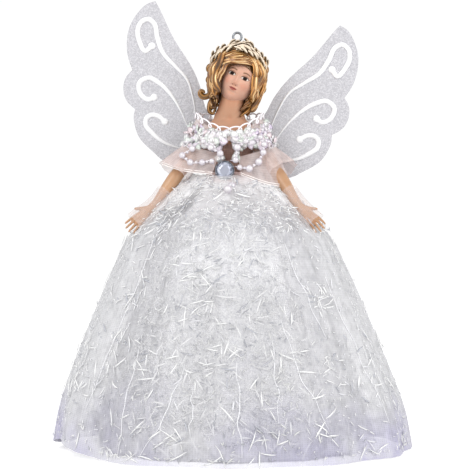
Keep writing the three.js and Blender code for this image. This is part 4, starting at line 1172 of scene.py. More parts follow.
    def chest(self) -> Skin:
        """Stem, chest, shoulders and neck, with collar bones and the hollow between them."""
        heights = np.concatenate([np.linspace(-19.5, 7, 14), np.linspace(8, 47, 70)])[:, None]
        turn = round_angles(96)[None, :]
        rows = spline(body.rows, 300)
        width, front, back = (np.interp(heights, rows[:, 0], rows[:, k]) for k in (1, 2, 3))
        in_stem = heights < -8
        deep = np.where(in_stem, self.stem_radius, np.where(np.sin(turn) < 0, front, back))
        x = np.where(in_stem, self.stem_radius, width) * np.cos(turn)
        side = np.abs(x)
        lean = neck_lean * np.clip((heights - torso_rise) / neck_length, 0, 1)
        bones = 0.5 * bump(heights, 33.2 - 0.09 * side, 0.8) * smooth(side, 1.2, 3) * smooth(-side, -11, -8)
        hollow = 0.6 * bump(heights, 33.4, 1.4) * bump(x, 0, 1.3)
        tendons = 0.35 * bump(side, 2.6 + 0.1 * (heights - 36), 0.9) * smooth(heights, 34, 39)
        ahead = np.clip(-np.sin(turn), 0, 1) ** 2
        y = deep * np.sin(turn) - ahead * (bones - hollow + tendons)
        # The socket faces are flat, where the arms' round tops bear
        flat = (heights > 16) & (heights < 33)
        x = np.where(flat, np.clip(x + lean, -self.socket_half, self.socket_half), x + lean)
        return painted(
            xyz(x, y, heights), "#bf9378", ("#c98f70", 0.6 * bump(heights, 44, 4.5) * ahead),
            # Painted shade darkens the sides of the neck
            ("#865539", 0.75 * smooth(heights, 33, 38) * smooth(np.abs(np.cos(turn)), 0.5, 0.98)),
            ("#cc9273", 0.4 * bump(heights, 33.4, 1.2) * bump(x, 0, 1.5) * ahead))

    def build(self, shop: Workshop) -> None:
        """Makes the head, neck and chest as one painted piece."""
        shop.piece("painted_half_doll", [self.chest(), self.head()], face_paint, "skin", replaces=["bust"])


@dataclass
class Hair:
    """Moulded wavy hair: a dark cap under many ridged gold locks; the cap's dark and the brown between the
    ridges are painted shade, the light on the ridges painted highlight.
    """

    half_width: float = 12.2
    half_depth: float = 12.6
    half_height: float = 14.4
    fall_height: float = 20.5

    def on_head(self, turn: Array, fall: Array, lift: Array | float) -> Array:
        """A point on the hair's egg: (w sin f sin a, -d sin f cos a, h cos f), turned and placed.

        Args:
            turn: The angle round the head in degrees, 0 at the front.
            fall: The angle down from the crown in degrees.
            lift: How far the point stands off.

        Returns:
            The points.
        """
        turn, fall = np.radians(turn), np.radians(fall)
        height = np.where(np.cos(fall) < 0, self.fall_height, self.half_height)
        return hair_middle + xyz(
            (self.half_width + lift) * np.sin(fall) * np.sin(turn),
            -(self.half_depth + lift) * np.sin(fall) * np.cos(turn),
            (height + lift) * np.cos(fall)) @ hair_turn.T

    def cap(self) -> Skin:
        """The dark under-layer, sunk a little and pushed in round the face; its dark brown is painted shade
        between the locks.
        """
        fall = np.linspace(3, 146, 90)[:, None]
        turn = np.linspace(0, 360, 145)[None, :-1]
        grid = self.on_head(turn, fall, -1.2)
        local = (grid - head_middle) @ head_turn
        near = np.hypot(local[..., 0] / 8.6, (local[..., 2] + 6.6) / 11.6)
        behind = smooth(-near, -1.1, -0.95) * (local[..., 1] < 2)
        pushed = local.copy()
        pushed[..., 1] = np.where(behind > 0, local[..., 1] * (1 - behind) + 3.0 * behind, local[..., 1])
        return painted(pushed @ head_turn.T + head_middle, "#5f3d18")

    def lock(self, stops: Points, wide: float, thick: float, seed: int) -> Skin:
        """One ridged lock that waves as it falls.

        Args:
            stops: Its way over the egg: turn and fall in degrees, lift in millimetres.
            wide: Half its width.
            thick: Half its thickness.
            seed: The seed of its wave.

        Returns:
            The painted lock.
        """
        rng = np.random.default_rng(seed)
        n = 44
        # A millimetre of lift counts as eight degrees of the way, so that stops are spread evenly
        weights = np.array([1, 1, 8])
        turn, fall, lift = (spline(np.asarray(stops, float) * weights, n) / weights).T
        t = np.linspace(0, 1, n)
        grown = smooth(t, 0.05, 0.5)
        beat = rng.uniform(1.7, 2.6) * TAU * t + rng.uniform(0, TAU)
        hook = smooth(t, 0.68, 1) ** 2 * rng.choice([-1, 1])
        path = self.on_head(turn + 3.6 * grown * np.sin(beat) + 9 * hook, fall - 6 * smooth(t, 0.85, 1),
                            lift + 0.55 * grown * np.cos(beat))
        return self.strand(path, wide, thick, beat, rng)

    def strand(self, path: Array, wide: float, thick: float, beat: Array, rng: np.random.Generator) -> Skin:
        """A gold band, with painted highlights on its ridges and outer side and brown painted shade between
        the ridges and on its inner side.

        Args:
            path: The lock's middle line.
            wide: Half its width.
            thick: Half its thickness.
            beat: The phase of its wave along the line.
            rng: Where its roll and its tone come from.

        Returns:
            The painted lock.
        """
        n, sides = len(path), 20
        t = np.linspace(0, 1, n)
        out = unit(path - hair_middle)
        size = (0.45 + 0.55 * smooth(t, 0, 0.2)) * (0.45 + 0.55 * smooth(1 - t, 0, 0.16))
        roll = np.radians(rng.uniform(-14, 14)) * np.sin(beat * 0.5)
        along = unit(np.gradient(path, axis=0))
        tilted = out * np.cos(roll)[:, None] + np.cross(along, out) * np.sin(roll)[:, None]
        ridges = 5
        grid = tube(path, tilted, wide * size, thick * size, sides, ridge=0.13, ridges=ridges)
        angle = round_angles(sides)
        crest = 0.5 + 0.5 * np.cos(ridges * angle)
        outside = smooth(np.sin(angle), -0.5, 0.5)
        # Painted light: ridges and the outer side get painted highlights, grooves and the inner side painted
        # shade, and the light swells and fades along each wave
        shine = (0.25 + 0.75 * crest * outside)[None, :] * (0.72 + 0.28 * np.cos(beat + 0.8))[:, None]
        # Painted light: the right of the head is painted lighter, the left darker
        shine = shine * (1 + 0.011 * (path[:, :1] - hair_middle[0]))
        tone = rng.choice(["#bd8038", "#cf9046", "#a86a29"])
        return painted(grid, "#4d2f10", (tone, smooth(shine, 0.2, 0.66)),
                       ("#f6dca8", 0.85 * smooth(shine, 0.62, 0.94)))

    def sweep(self, inner: Points, outer: Points, count: int, seed: int) -> list[Skin]:
        """Locks of the fringe between two tracks of (x, z) points, as seen from the front.

        Args:
            inner: The track by the face.
            outer: The track by the outline, with as many points.
            count: How many locks there are.
            seed: The seed of their waves.

        Returns:
            The locks, from the face outwards.
        """
        made = []
        for k in range(count):
            rng = np.random.default_rng(seed + k)
            share = k / (count - 1)
            track = spline(np.asarray(inner) * (1 - share) + np.asarray(outer) * share, 60)
            track = track[: int(60 * rng.uniform(0.84, 1.0))]
            t = np.linspace(0, 1, len(track))
            flat = xyz(track[:, 0], 0, track[:, 1]) - np.array([1, 0, 1]) * hair_middle
            local = flat @ hair_turn / np.array([self.half_width, 1, self.half_height])
            room = np.clip(1 - local[:, 0] ** 2 - local[:, 2] ** 2, 0.03, 1)
            beat = rng.uniform(2.3, 3.2) * TAU * t + rng.uniform(0, TAU)
            path = flat + hair_middle * np.array([1, 0, 1])
            deep = 0.9 * self.half_depth * np.sqrt(room) + 0.35 + 0.5 * rng.uniform() + 0.4 * np.cos(beat)
            path[:, 1] = hair_middle[1] - deep
            along = unit(np.gradient(path, axis=0))
            across = unit(np.cross(along, unit(path - hair_middle)))
            hook = smooth(t, 0.78, 1) ** 2 * rng.choice([-1, 1]) * 2.6
            path = path + across * (1.1 * smooth(t, 0.15, 0.5) * np.sin(beat) + hook)[:, None]
            made.append(self.strand(path, 1.4, 1.2, beat, rng))
        return made

    def locks(self) -> list[Skin]:
        """All locks: the curtain round the back and sides, the two sweeps of the fringe, and the ends."""
        made: list[Skin] = []
        rng = np.random.default_rng(3)
        first, last = 58, 302
        for layer, (count, start, wide, lift) in enumerate(((26, 24, 2.5, -0.3), (24, 12, 2.3, 0.6))):
            for k in range(count):
                turn = first + (last - first) * (k + 0.5 * layer) / (count - 1)
                side = math.sin(math.radians(turn))
                end = 138 + 7 * rng.uniform(-1, 1) - (12 if layer else 0) - 8 * abs(side)
                flick = 2.2 * rng.uniform(0.2, 1)
                stops = [
                    (turn + rng.uniform(-5, 5), start, 0.0), (turn, 48, lift),
                    (turn + rng.uniform(-4, 4), 78, lift + 0.4), (turn + rng.uniform(-5, 5), 104, lift),
                    (turn + rng.uniform(-6, 6), end, flick)]
                made.append(self.lock(stops, wide, 1.5, 100 * layer + k))
        left = self.sweep(
            [(13.2, 59.2), (8.2, 60.8), (2.4, 61.2), (-2, 59.8), (-4.2, 56.5), (-5.2, 52), (-6.2, 46.5),
             (-7, 35.5)],
            [(8.2, 70.5), (3.2, 70), (-3.8, 67), (-7.9, 62), (-9.7, 57), (-9.7, 50), (-9.1, 43),
             (-8.3, 35)], 11, 300)
        right = self.sweep(
            [(5.2, 68.5), (8.6, 65.6), (11.2, 62), (12.9, 58), (13.3, 52), (11.6, 46), (7.4, 39.5),
             (3.8, 31.5)],
            [(6.7, 70.8), (12, 68.5), (16, 64), (18, 58), (17.2, 51), (15.6, 45), (12.6, 39.5),
             (7.6, 34)], 11, 400)
        return made + left + right

    def curl(self, stops: Points, wide: float) -> Skin:
        """A lock that leaves the hair and rolls back up on itself.

        Args:
            stops: The points that it passes.
            wide: Half its width at the root.

        Returns:
            The painted curl.
        """
        path = spline(stops, 40)
        t = np.linspace(0, 1, 40)
        size = wide * (0.5 + 0.5 * smooth(1 - t, 0, 0.5))
        grid = tube(path, np.array([0.0, -1.0, 0.0]), size, size * 0.9, 16, ridge=0.1)
        # Brown painted shade in the grooves, gold on the ridges
        return painted(grid, "#4a3212", ("#a87532", 0.5 + 0.5 * np.cos(5 * round_angles(16))))

    def ringlet(self, x: float, z: float, size: float) -> Skin:
        """A small curl at the outline: most of a turn of a circle that opens outwards and tightens.

        Args:
            x: Where its middle is across the head.
            z: Where its middle is up the head.
            size: Its first radius.

        Returns:
            The painted curl.
        """
        t = np.linspace(0, 1, 14)
        angle, reach = np.radians(190 - 330 * t), size * (1.15 - 0.7 * t)
        across, up = x + np.sign(x) * reach * np.cos(angle), z + reach * np.sin(angle)
        return self.curl(xyz(across, hair_middle[1] - 1 - 1.6 * t, up), 1.05)

    def build(self, shop: Workshop) -> None:
        """Makes the cap and the locks as one painted moulding."""
        curls = [
            ([[-8.4, 0.2, 48.2], [-10.6, 0, 45.1], [-13.2, -0.4, 44.6], [-14.7, -0.6, 46.0],
              [-14.3, -0.7, 47.6], [-13, -0.7, 47.3], [-12.8, -0.8, 46.3]], 1.5),
            ([[13.4, 1, 50], [15.2, 0, 46.2], [14, -0.8, 42.8], [11.9, -1.4, 42.4], [11.5, -1.8, 44.2],
              [12.6, -2, 44.6]], 1.3),
            ([[13.2, 1, 45], [13.4, 0, 40.6], [11.2, -0.8, 37.6], [8.8, -1.2, 38.2], [8.9, -1.6, 40]], 1.2),
            ([[-8.4, 0.5, 44], [-10, 0, 40.6], [-9.7, -0.6, 37], [-8.2, -1, 36.2], [-7.6, -1.2, 37.8]], 1.1)]
        ringlets = [
            (15.5, 62.8, 2.1), (16.9, 57.6, 2.6), (16.6, 52.6, 2.0), (15.5, 48.0, 2.7), (13.2, 43.2, 2.3),
            (-7.4, 62.8, 1.9), (-9.0, 58.2, 2.4), (-9.5, 52.6, 1.9), (-8.2, 40.0, 1.7)]
        skins = [self.cap(), *self.locks(), *(self.curl(stops, wide) for stops, wide in curls),
                 *(self.ringlet(*ringlet) for ringlet in ringlets)]
        shop.piece("moulded_hair", skins, hair_paint, "gold_hair", replaces=["hair"])


@dataclass
class Headband:
    """Two leafy sprays that meet over the crown, and the wire eye behind them."""

    sweep: float = 80.0
    forward: float = 30.0
    leaves: int = 11
    bud_row: int = -13
    hair: Hair = field(default_factory=Hair)

    def arc(self, sway: Array, lift: float, ahead: float = 0.0) -> Array:
        """A point of an arc over the crown from temple to temple.

        Args:
            sway: The angle along the arc in degrees, 0 at the crown.
            lift: How far it stands off the band's seat.
            ahead: How many degrees further ahead it lies.

        Returns:
            The points.
        """
        angle, lean = np.radians(sway), math.radians(self.forward + ahead)
        turn = np.degrees(np.arctan2(np.sin(angle), np.cos(angle) * math.sin(lean)))
        fall = np.degrees(np.arccos(np.cos(angle) * math.cos(lean)))
        return self.hair.on_head(turn, fall, 0.8 + lift)

    def leaf(self, root: Array, way: Array, out: Array, long: float) -> Skin:
        """A pointed leaf with a raised rib: width and height fall off as sin.

        Args:
            root: Where it starts.
            way: The direction in which it points.
            out: The direction that it faces.
            long: Its length.

        Returns:
            The painted leaf.
        """
        t = np.linspace(0.03, 0.97, 11)
        path = root + way * (long * t)[:, None] + out * (0.7 * np.sin(math.pi * t))[:, None]
        width = 0.8 * np.sin(math.pi * t**0.8) + 0.12
        grid = tube(path, out, width, 0.4 + 0.25 * np.sin(math.pi * t), 12, ridge=0.12, ridges=4)
        # The face towards the hair is painted brown as shade; the outer face is cream, partly painted
        # highlight
        return painted(grid, "#5a4527", ("#f6e3cb", smooth(np.sin(round_angles(12)), 0.1, 0.95)))

    def build(self, shop: Workshop) -> None:
        """Makes the band with its leaves and buds, and the hanging eye."""
        sway = np.linspace(-self.sweep, self.sweep, 60)
        band_path = self.arc(sway, 0.3)
        out = unit(band_path - hair_middle)
        skins = [painted(tube(band_path, out, 1.4, 0.5, 10), "#7c5a28")]
        rng = np.random.default_rng(14)
        for lean, slant in ((self.bud_row, 0.25), (-6, -0.3), (1, 0.35), (8, -0.2), (15, -0.45)):
            for k in range(self.leaves):
                angle = -self.sweep + 2 * self.sweep * (k + rng.uniform(0.1, 0.9)) / self.leaves
                root, ahead = self.arc(np.array([angle, angle + 1]), 0.9, lean + rng.uniform(-2, 2))
                up = unit(root - hair_middle)
                along = unit(ahead - root) * (1 if angle < 0 else -1)
                across = unit(np.cross(ahead - root, up))
                tilt = slant + rng.uniform(-0.3, 0.3)
                way = unit(along + across * tilt + up * (0.55 if lean == self.bud_row else 0.12))
                skins.append(self.leaf(root, way, up, rng.uniform(3.6, 5.6)))
                if lean == self.bud_row:
                    skins.append(painted(ball(root + up * 0.5, 0.75, 6, 10), "#f0dfc0"))
        shop.piece("leafy_headband", skins, leaf_paint, "cream_paint", replaces=["tiara"])
        low, high = shop.box("hang_ring")
        wire, loop = 0.6, 2.1
        eye = np.array([(low[0] + high[0]) / 2, (low[1] + high[1]) / 2, high[2] - loop - wire])
        angle, section = round_angles(48), round_angles(12)
        radial = xyz(np.cos(angle), 0, np.sin(angle))
        grid = carried(eye + loop * radial, radial, BACK, wire * np.cos(section), wire * np.sin(section))
        shank = spline([eye + [0, 0, -2.2], eye + [0.1, 0, -3.6], eye + [0, 0, -7.6]], 12)
        wires = [Skin(grid, joined=True), Skin(tube(shank, BACK, wire, wire, 12))]
        shop.piece("hanging_eye", wires, plated_wire, "silver_wire", replaces=["hang_ring"])


@dataclass
class Arm:
    """One arm in its own plane, from the shoulder peg to the fingertips, then swung forward."""

    side: Side
    spread: float
    swing: float
    upper: float = 20.0
    fore: float = 24.0
    palm: float = 9.2
    finger: float = 8.6
    # How far from the doll's middle the arm's line starts
    root_half: float = 12.54

    def place(self, points: Array) -> Array:
        """Takes points of the arm's plane to the doll's frame."""
        root = np.array([self.side.value * self.root_half, 0, shoulder_height])
        return points @ turn_matrix(Axis.X, -self.swing).T + root

    def reach(self, angle: float, length: float) -> Array:
        """A step in the arm's plane at an angle out from straight down."""
        turn = math.radians(angle + self.spread)
        return np.array([self.side.value * math.sin(turn) * length, 0, -math.cos(turn) * length])

    def joints(self) -> tuple[Array, Array, Array]:
        """Elbow, wrist and knuckles in the arm's plane."""
        elbow = self.reach(32, self.upper)
        wrist = elbow + self.reach(33, self.fore)
        return elbow, wrist, wrist + self.reach(45, self.palm)

    def limb(self) -> list[Skin]:
        """The arm as overlapping closed skins: limb, shoulder ball, palm, fingers and thumb."""
        elbow, wrist, knuckles = self.joints()
        heading = unit(knuckles - wrist)
        across = np.array([heading[2], 0, -heading[0]]) * self.side.value
        middles = (elbow + wrist) / 2, (wrist + knuckles) / 2
        path = spline([[0, 0, 0], elbow * 0.55, elbow, middles[0], wrist, middles[1], knuckles], 60)
        # Shoulder, upper arm, above and at the elbow, forearm, wrist, palm and knuckles
        stations = [0, 0.25, 0.4, 0.5, 0.62, 0.84, 0.9, 1.0]
        radius, thick = (np.interp(np.linspace(0, 1, 60), stations, halves) for halves in (
            [3.9, 3.8, 3.35, 3.55, 3.1, 2.15, 2.6, 2.9], [3.8, 3.5, 3.1, 3.3, 2.9, 2.0, 1.7, 1.15]))
        skins = [
            Skin(tube(path, BACK, radius, thick, 24)),
            Skin(ball((self.side.value * 0.3, 0, 0), (4.1, 4.3, 4.3), 16, 24))]
        for place, fan, long in ((-0.78, -7, 0.86), (-0.27, -2, 1.02), (0.27, 3, 1.05), (0.78, 9, 0.92)):
            way = turn_matrix(Axis.Y, self.side.value * fan) @ heading
            root = knuckles + across * place * 2.9
            curl = np.array([0, 0.9, 0])
            bone = spline([root - way * 2.4, root + way * self.finger * long * 0.5 - curl * 0.2,
                           root + way * self.finger * long + curl], 18)
            size = np.interp(np.linspace(0, 1, 18), [0, 0.5, 0.9, 1], [0.85, 0.74, 0.58, 0.3])
            skins.append(Skin(tube(bone, BACK, size, size * 0.92, 12)))
        thumb_root = wrist + (knuckles - wrist) * 0.3 - across * 1.2
        thumb_way = turn_matrix(Axis.Y, self.side.value * -38) @ heading
        tip = thumb_root + thumb_way * 6.8 + [0, -0.5, 0]
        thumb = spline([thumb_root, thumb_root + thumb_way * 3.4, tip], 16)
        size = np.interp(np.linspace(0, 1, 16), [0, 0.5, 0.9, 1], [1.2, 0.95, 0.75, 0.4])
        skins.append(Skin(tube(thumb, BACK, size, size, 12)))
        for skin in skins:
            skin.grid = self.place(skin.grid)
        return skins

    def veil(self) -> Skin:
        """The long sheer cuff that hangs round the forearm and over the back of the hand."""
        elbow, wrist, knuckles = self.joints()
        path = spline([elbow * 0.4 + wrist * 0.6, wrist, knuckles + (knuckles - wrist) * 0.35], 40)
        t = np.linspace(0, 1, 40)
        turn = round_angles(40)
        across = unit(np.cross(np.gradient(path, axis=0), BACK))
        ripple = 1 + 0.10 * np.cos(7 * turn) * t[:, None] + 0.05 * np.sin(3 * turn + 4 * t[:, None])
        wide = (4.3 + 0.7 * t**1.2)[:, None] * ripple * np.cos(turn)
        deep = (4.1 + 0.2 * t)[:, None] * ripple * np.sin(turn)
        return Skin(self.place(carried(path, across, BACK, wide, deep)), capped=False, size=(30, 24))

    def build(self, shop: Workshop) -> None:
        """Makes the arm, fused and smoothed, and its veil."""
        name = self.side.word
        arm = shop.piece(f"moulded_{name}_arm", self.limb(), vinyl_skin, "skin", body=None,
                         replaces=[f"{name}_arm"])
        fuse = arm.modifiers.new("fuse", "REMESH")
        fuse.mode, fuse.voxel_size, fuse.use_smooth_shade = "VOXEL", 0.32 * MM, True
        soften = arm.modifiers.new("soften", "SMOOTH")
        soften.factor, soften.iterations = 0.5, 4
        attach(arm, self.side.arm_body)
        shop.cloth(f"{name}_wrist_veil", self.veil(), veil_organza, "blush_organza", Held.DRAPED,
                   [f"moulded_{name}_arm"], body=self.side.arm_body)


@dataclass
class Sleeve:
    """A sheer flared sleeve, and the front drape that runs from it to the brooch."""

    arm: Arm
    drape_top: Points
    drape_foot: Points
    cuff_half: float = 4.5
    cuff_deep: float = 4.4
    mouth_out: float = 10.6
    mouth_in: float = 6.2
    mouth_deep: float = 9.0

    def tube(self) -> Skin:
        """Rings round the arm's middle line whose radius flares as share^0.8, with a ripple."""
        elbow, wrist, _ = self.arm.joints()
        path = spline([[0, 0, 0], elbow * 0.55, elbow, (elbow + wrist) / 2], 100)
        length = np.concatenate([[0], np.cumsum(np.linalg.norm(np.diff(path, axis=0), axis=1))])
        share = np.linspace(0, 1, 30)
        where = 7 + 17 * share
        middle = np.stack([np.interp(where, length, path[:, k]) for k in range(3)], -1)
        along = unit(np.gradient(middle, axis=0))
        out = xyz(-along[:, 2], 0, along[:, 0]) * self.arm.side.value
        out = out * np.sign(out[:, :1] * self.arm.side.value)
        turn = round_angles(72)
        down = share[:, None]
        ripple = 1 + 0.05 * down * np.cos(9 * turn) + 0.03 * np.cos(17 * turn + 5 * down)
        mouth = np.where(np.cos(turn) > 0, self.mouth_out, self.mouth_in)
        wide = (self.cuff_half + (mouth - self.cuff_half) * down**0.8) * ripple * np.cos(turn)
        deep = (self.cuff_deep + (self.mouth_deep - self.cuff_deep) * down**0.8) * ripple * np.sin(turn)
        return Skin(self.arm.place(carried(middle, out, BACK, wide, deep)), capped=False, size=(60, 18))

    def drape(self) -> Skin:
        """A sheet between its top line and its foot line, bellied forward and softly pleated."""
        top, foot = spline(self.drape_top, 60), spline(self.drape_foot, 60)
        s = np.linspace(0, 1, 30)[:, None, None]
        u = np.linspace(0, 1, 60)[None, :, None]
        grid = top[None] * (1 - s) + foot[None] * s
        belly = 1.1 * np.sin(math.pi * s) + 0.35 * np.cos(26 * u + 4 * s) * s
        return Skin(grid - belly * BACK, closed=False, capped=False, size=(30, 12))

    def build(self, shop: Workshop) -> None:
        """Makes the sleeve, the drape and the two nylon lines along the drape's foot."""
        side, name = self.arm.side, self.arm.side.word
        sleeve = shop.cloth(f"{name}_sheer_sleeve", self.tube(), blush_organza, "blush_organza",
                            Held.GATHERED, [f"moulded_{name}_arm"], body=None, replaces=[f"{name}_sleeve"])
        shop.follow_arm(sleeve)
        skin = self.drape()
        foot = skin.grid[-1]
        second = foot * 0.93 + skin.grid[-4] * 0.07 + np.array([0, -0.1, 0.9])
        wires = [painted(tube(line, BACK, 0.22, 0.22, 8), "#fdf7f4") for line in (foot, second)]
        lines = shop.piece(f"{name}_drape_edge", wires, edge_wire, "blush_organza", body=None)
        drape = shop.cloth(f"{name}_front_drape", skin, blush_organza, "blush_organza", Held.DRAPED,
                           [f"{name}_sheer_sleeve"], body=None, edges=[lines])
        for piece in (drape, lines):
            shop.follow_arm(piece)


@dataclass
class Collar:
    """The iridescent lace over the shoulders: a sheer ground, cut-film petals and a looped braid."""

    top_half: float = 15.6
    hem_half: float = 22.6
    front: float = 10.4
    back: float = 8.6
    side_height: float = 34.0
    front_height: float = 26.2
    hem_height: float = 19.0
    petals: int = 620
    # Petals further out than this go into a piece of their own on each side, on no body
    chest_half: float = 12.0

    def neckline(self, turn: Array) -> Array:
        """The height of the neckline, lowest at the front."""
        return self.side_height + (self.front_height - self.side_height) * np.maximum(0, -np.sin(turn)) ** 2

    def point(self, turn: Array, share: Array, grow: float) -> Array:
        """A point of the lace: (half cos a, depth sin a, height), ruffled towards the hem.

        Args:
            turn: The angle round the neck, 270 degrees at the front.
            share: 0 at the neckline and 1 at the hem.
            grow: How far it stands off the lace.

        Returns:
            The points.
        """
        ahead = np.maximum(0, -np.sin(turn))
        height = self.neckline(turn) * (1 - share) + (self.hem_height + 3 * ahead**12) * share
        ruffle = 0.5 * share * np.cos(9 * turn) + 0.22 * share * np.cos(34 * turn) + grow
        half = self.top_half + (self.hem_half - self.top_half) * share**0.7 + ruffle
        deep = np.where(np.sin(turn) < 0, self.front, self.back) + 2.6 * share + ruffle
        return xyz(half * np.cos(turn), deep * np.sin(turn), height)

    def ground(self) -> Skin:
        """The sheer cape under the petals."""
        share, turn = round_grid(26, 216)
        return Skin(self.point(turn, share, 0.25), capped=False, size=(95, 12))

    def petal_skins(self) -> list[Skin]:
        """Shallow cut-film petals, each a closed lens at its own tilt, denser and bigger in front."""
        rng = np.random.default_rng(21)
        n = self.petals
        ahead = 1.5 * math.pi
        turn = np.where(rng.uniform(size=n) < 0.68, rng.normal(ahead, 0.75, n), rng.uniform(0, TAU, n))
        share = rng.uniform(0.12, 1.04, n) ** 0.85
        gap = bump(np.mod(turn, TAU), ahead + 0.03, 0.12) * smooth(share, 0.4, 0.7)
        keep = rng.uniform(size=n) > gap * 1.4
        turn, share = turn[keep], share[keep]
        p = self.point(turn, share, 0.9)
        out = self.point(turn, share, 1.9) - p
        # More petals on the chest, but for a clear lozenge above the brooch
        middle, more = -0.3, 110
        x, z = rng.normal(middle, 3.4, more), rng.uniform(12.6, 23.5, more)
        clear = np.abs(x - middle) / 2.0 + np.abs(z - 16.6) / 3.4 > 1
        front = xyz(x, -11.9 - 0.5 * rng.uniform(size=more), z)[clear]
        p = np.concatenate([p, front])
        out = np.concatenate([out, np.broadcast_to([0, -1.0, 0.1], front.shape)])
        turn = np.concatenate([turn, np.full(len(front), 4.7)])
        share = np.concatenate([share, np.ones(len(front))])
        p += rng.normal(0, 0.35, p.shape)
        out = unit(out + rng.normal(0, 0.55, p.shape))
        first = unit(np.cross(out, rng.normal(0, 1, p.shape)))
        second = np.cross(out, first)
        size = rng.uniform(1.1, 2.5, len(p))
        codes = ("#ffffff", "#fbf6f8", "#f6f1f8", "#eef5ee", "#f1e6f3", "#f7e5ea", "#ffffff", "#e1d2ea",
                 "#dcefe0")
        palette = np.array([plain_rgb(code) for code in codes])
        zone = np.cos(3.1 * turn + 1.2) + 0.8 * np.sin(5 * share + 2 * turn)
        pick = np.clip(((zone + 1.8) / 3.6 * 5 + rng.normal(0, 1.8, len(p))).astype(int), 0, len(codes) - 1)
        angle = round_angles(9)
        # Each ring of the lens: how wide it is and how far it stands out, as shares of the petal's size
        reach, lift = np.array([[0.45, 0.28], [1.0, 0.0], [0.45, -0.02]]).T[..., None]
        lobes = reach * (1 + 0.14 * np.cos(3 * angle))
        lens = xyz(np.cos(angle) * lobes, np.sin(angle) * lobes, lift)
        # The bodice, whose brown is painted shade, shows in a hollow that narrows upwards
        hollow = np.interp(p[:, 2], [11.5, 19.5, 24.5], [3.6, 3.2, 1.7])
        kept = np.flatnonzero((np.abs(p[:, 0] - middle) > hollow) | (p[:, 1] > -8) | (p[:, 2] > 25))
        return [
            Skin(p[k] + size[k] * (lens @ np.stack([first[k], second[k], out[k]])),
                 tint=np.broadcast_to(palette[pick[k]], lens.shape))
            for k in kept]

    def braid(self) -> Skin:
        """The looped braid: a coiling line, angle t - a sin(nt), height b (1 - cos(nt))."""
        loops = 20
        t = round_angles(loops * 36)
        turn = t - 0.115 * np.sin(loops * t)
        base = self.point(turn, 0, 0.2)
        base[:, 2] += -0.3 + 1.45 * (1 - np.cos(loops * t))
        sway = 0.42 * np.cos(loops * t / 2) + 0.9
        radial = xyz(np.cos(turn), np.sin(turn), 0)
        path = base + radial * sway[:, None]
        along = unit(np.roll(path, -1, 0) - np.roll(path, 1, 0))
        across = unit(np.cross(along, radial))
        angle = round_angles(8)
        grid = carried(path, across, np.cross(across, along), 0.4 * np.cos(angle), 0.4 * np.sin(angle))
        return painted(grid, "#fbf7fb", joined=True)

    def build(self, shop: Workshop) -> None:
        """Makes the ground, the petals and the braid."""
        shop.cloth("sheer_collar", self.ground(), collar_organza, "lace", Held.GATHERED,
                   ["painted_half_doll"], replaces=["lace_collar"])
        petals = [(petal, petal.grid[..., 0].mean()) for petal in self.petal_skins()]
        still = [petal for petal, x in petals if abs(x) <= self.chest_half]
        shop.piece("cut_film_petals", still, sequin_film, "lace")
        for side in Side:
            own = [petal for petal, x in petals if x * side.value > self.chest_half]
            lifted = shop.piece(f"{side.word}_shoulder_petals", own, sequin_film, "lace", body=None)
            shop.follow_arm(lifted)
        shop.piece("looped_braid", [self.braid()], edge_wire, "lace", replaces=["neckline_braid"])


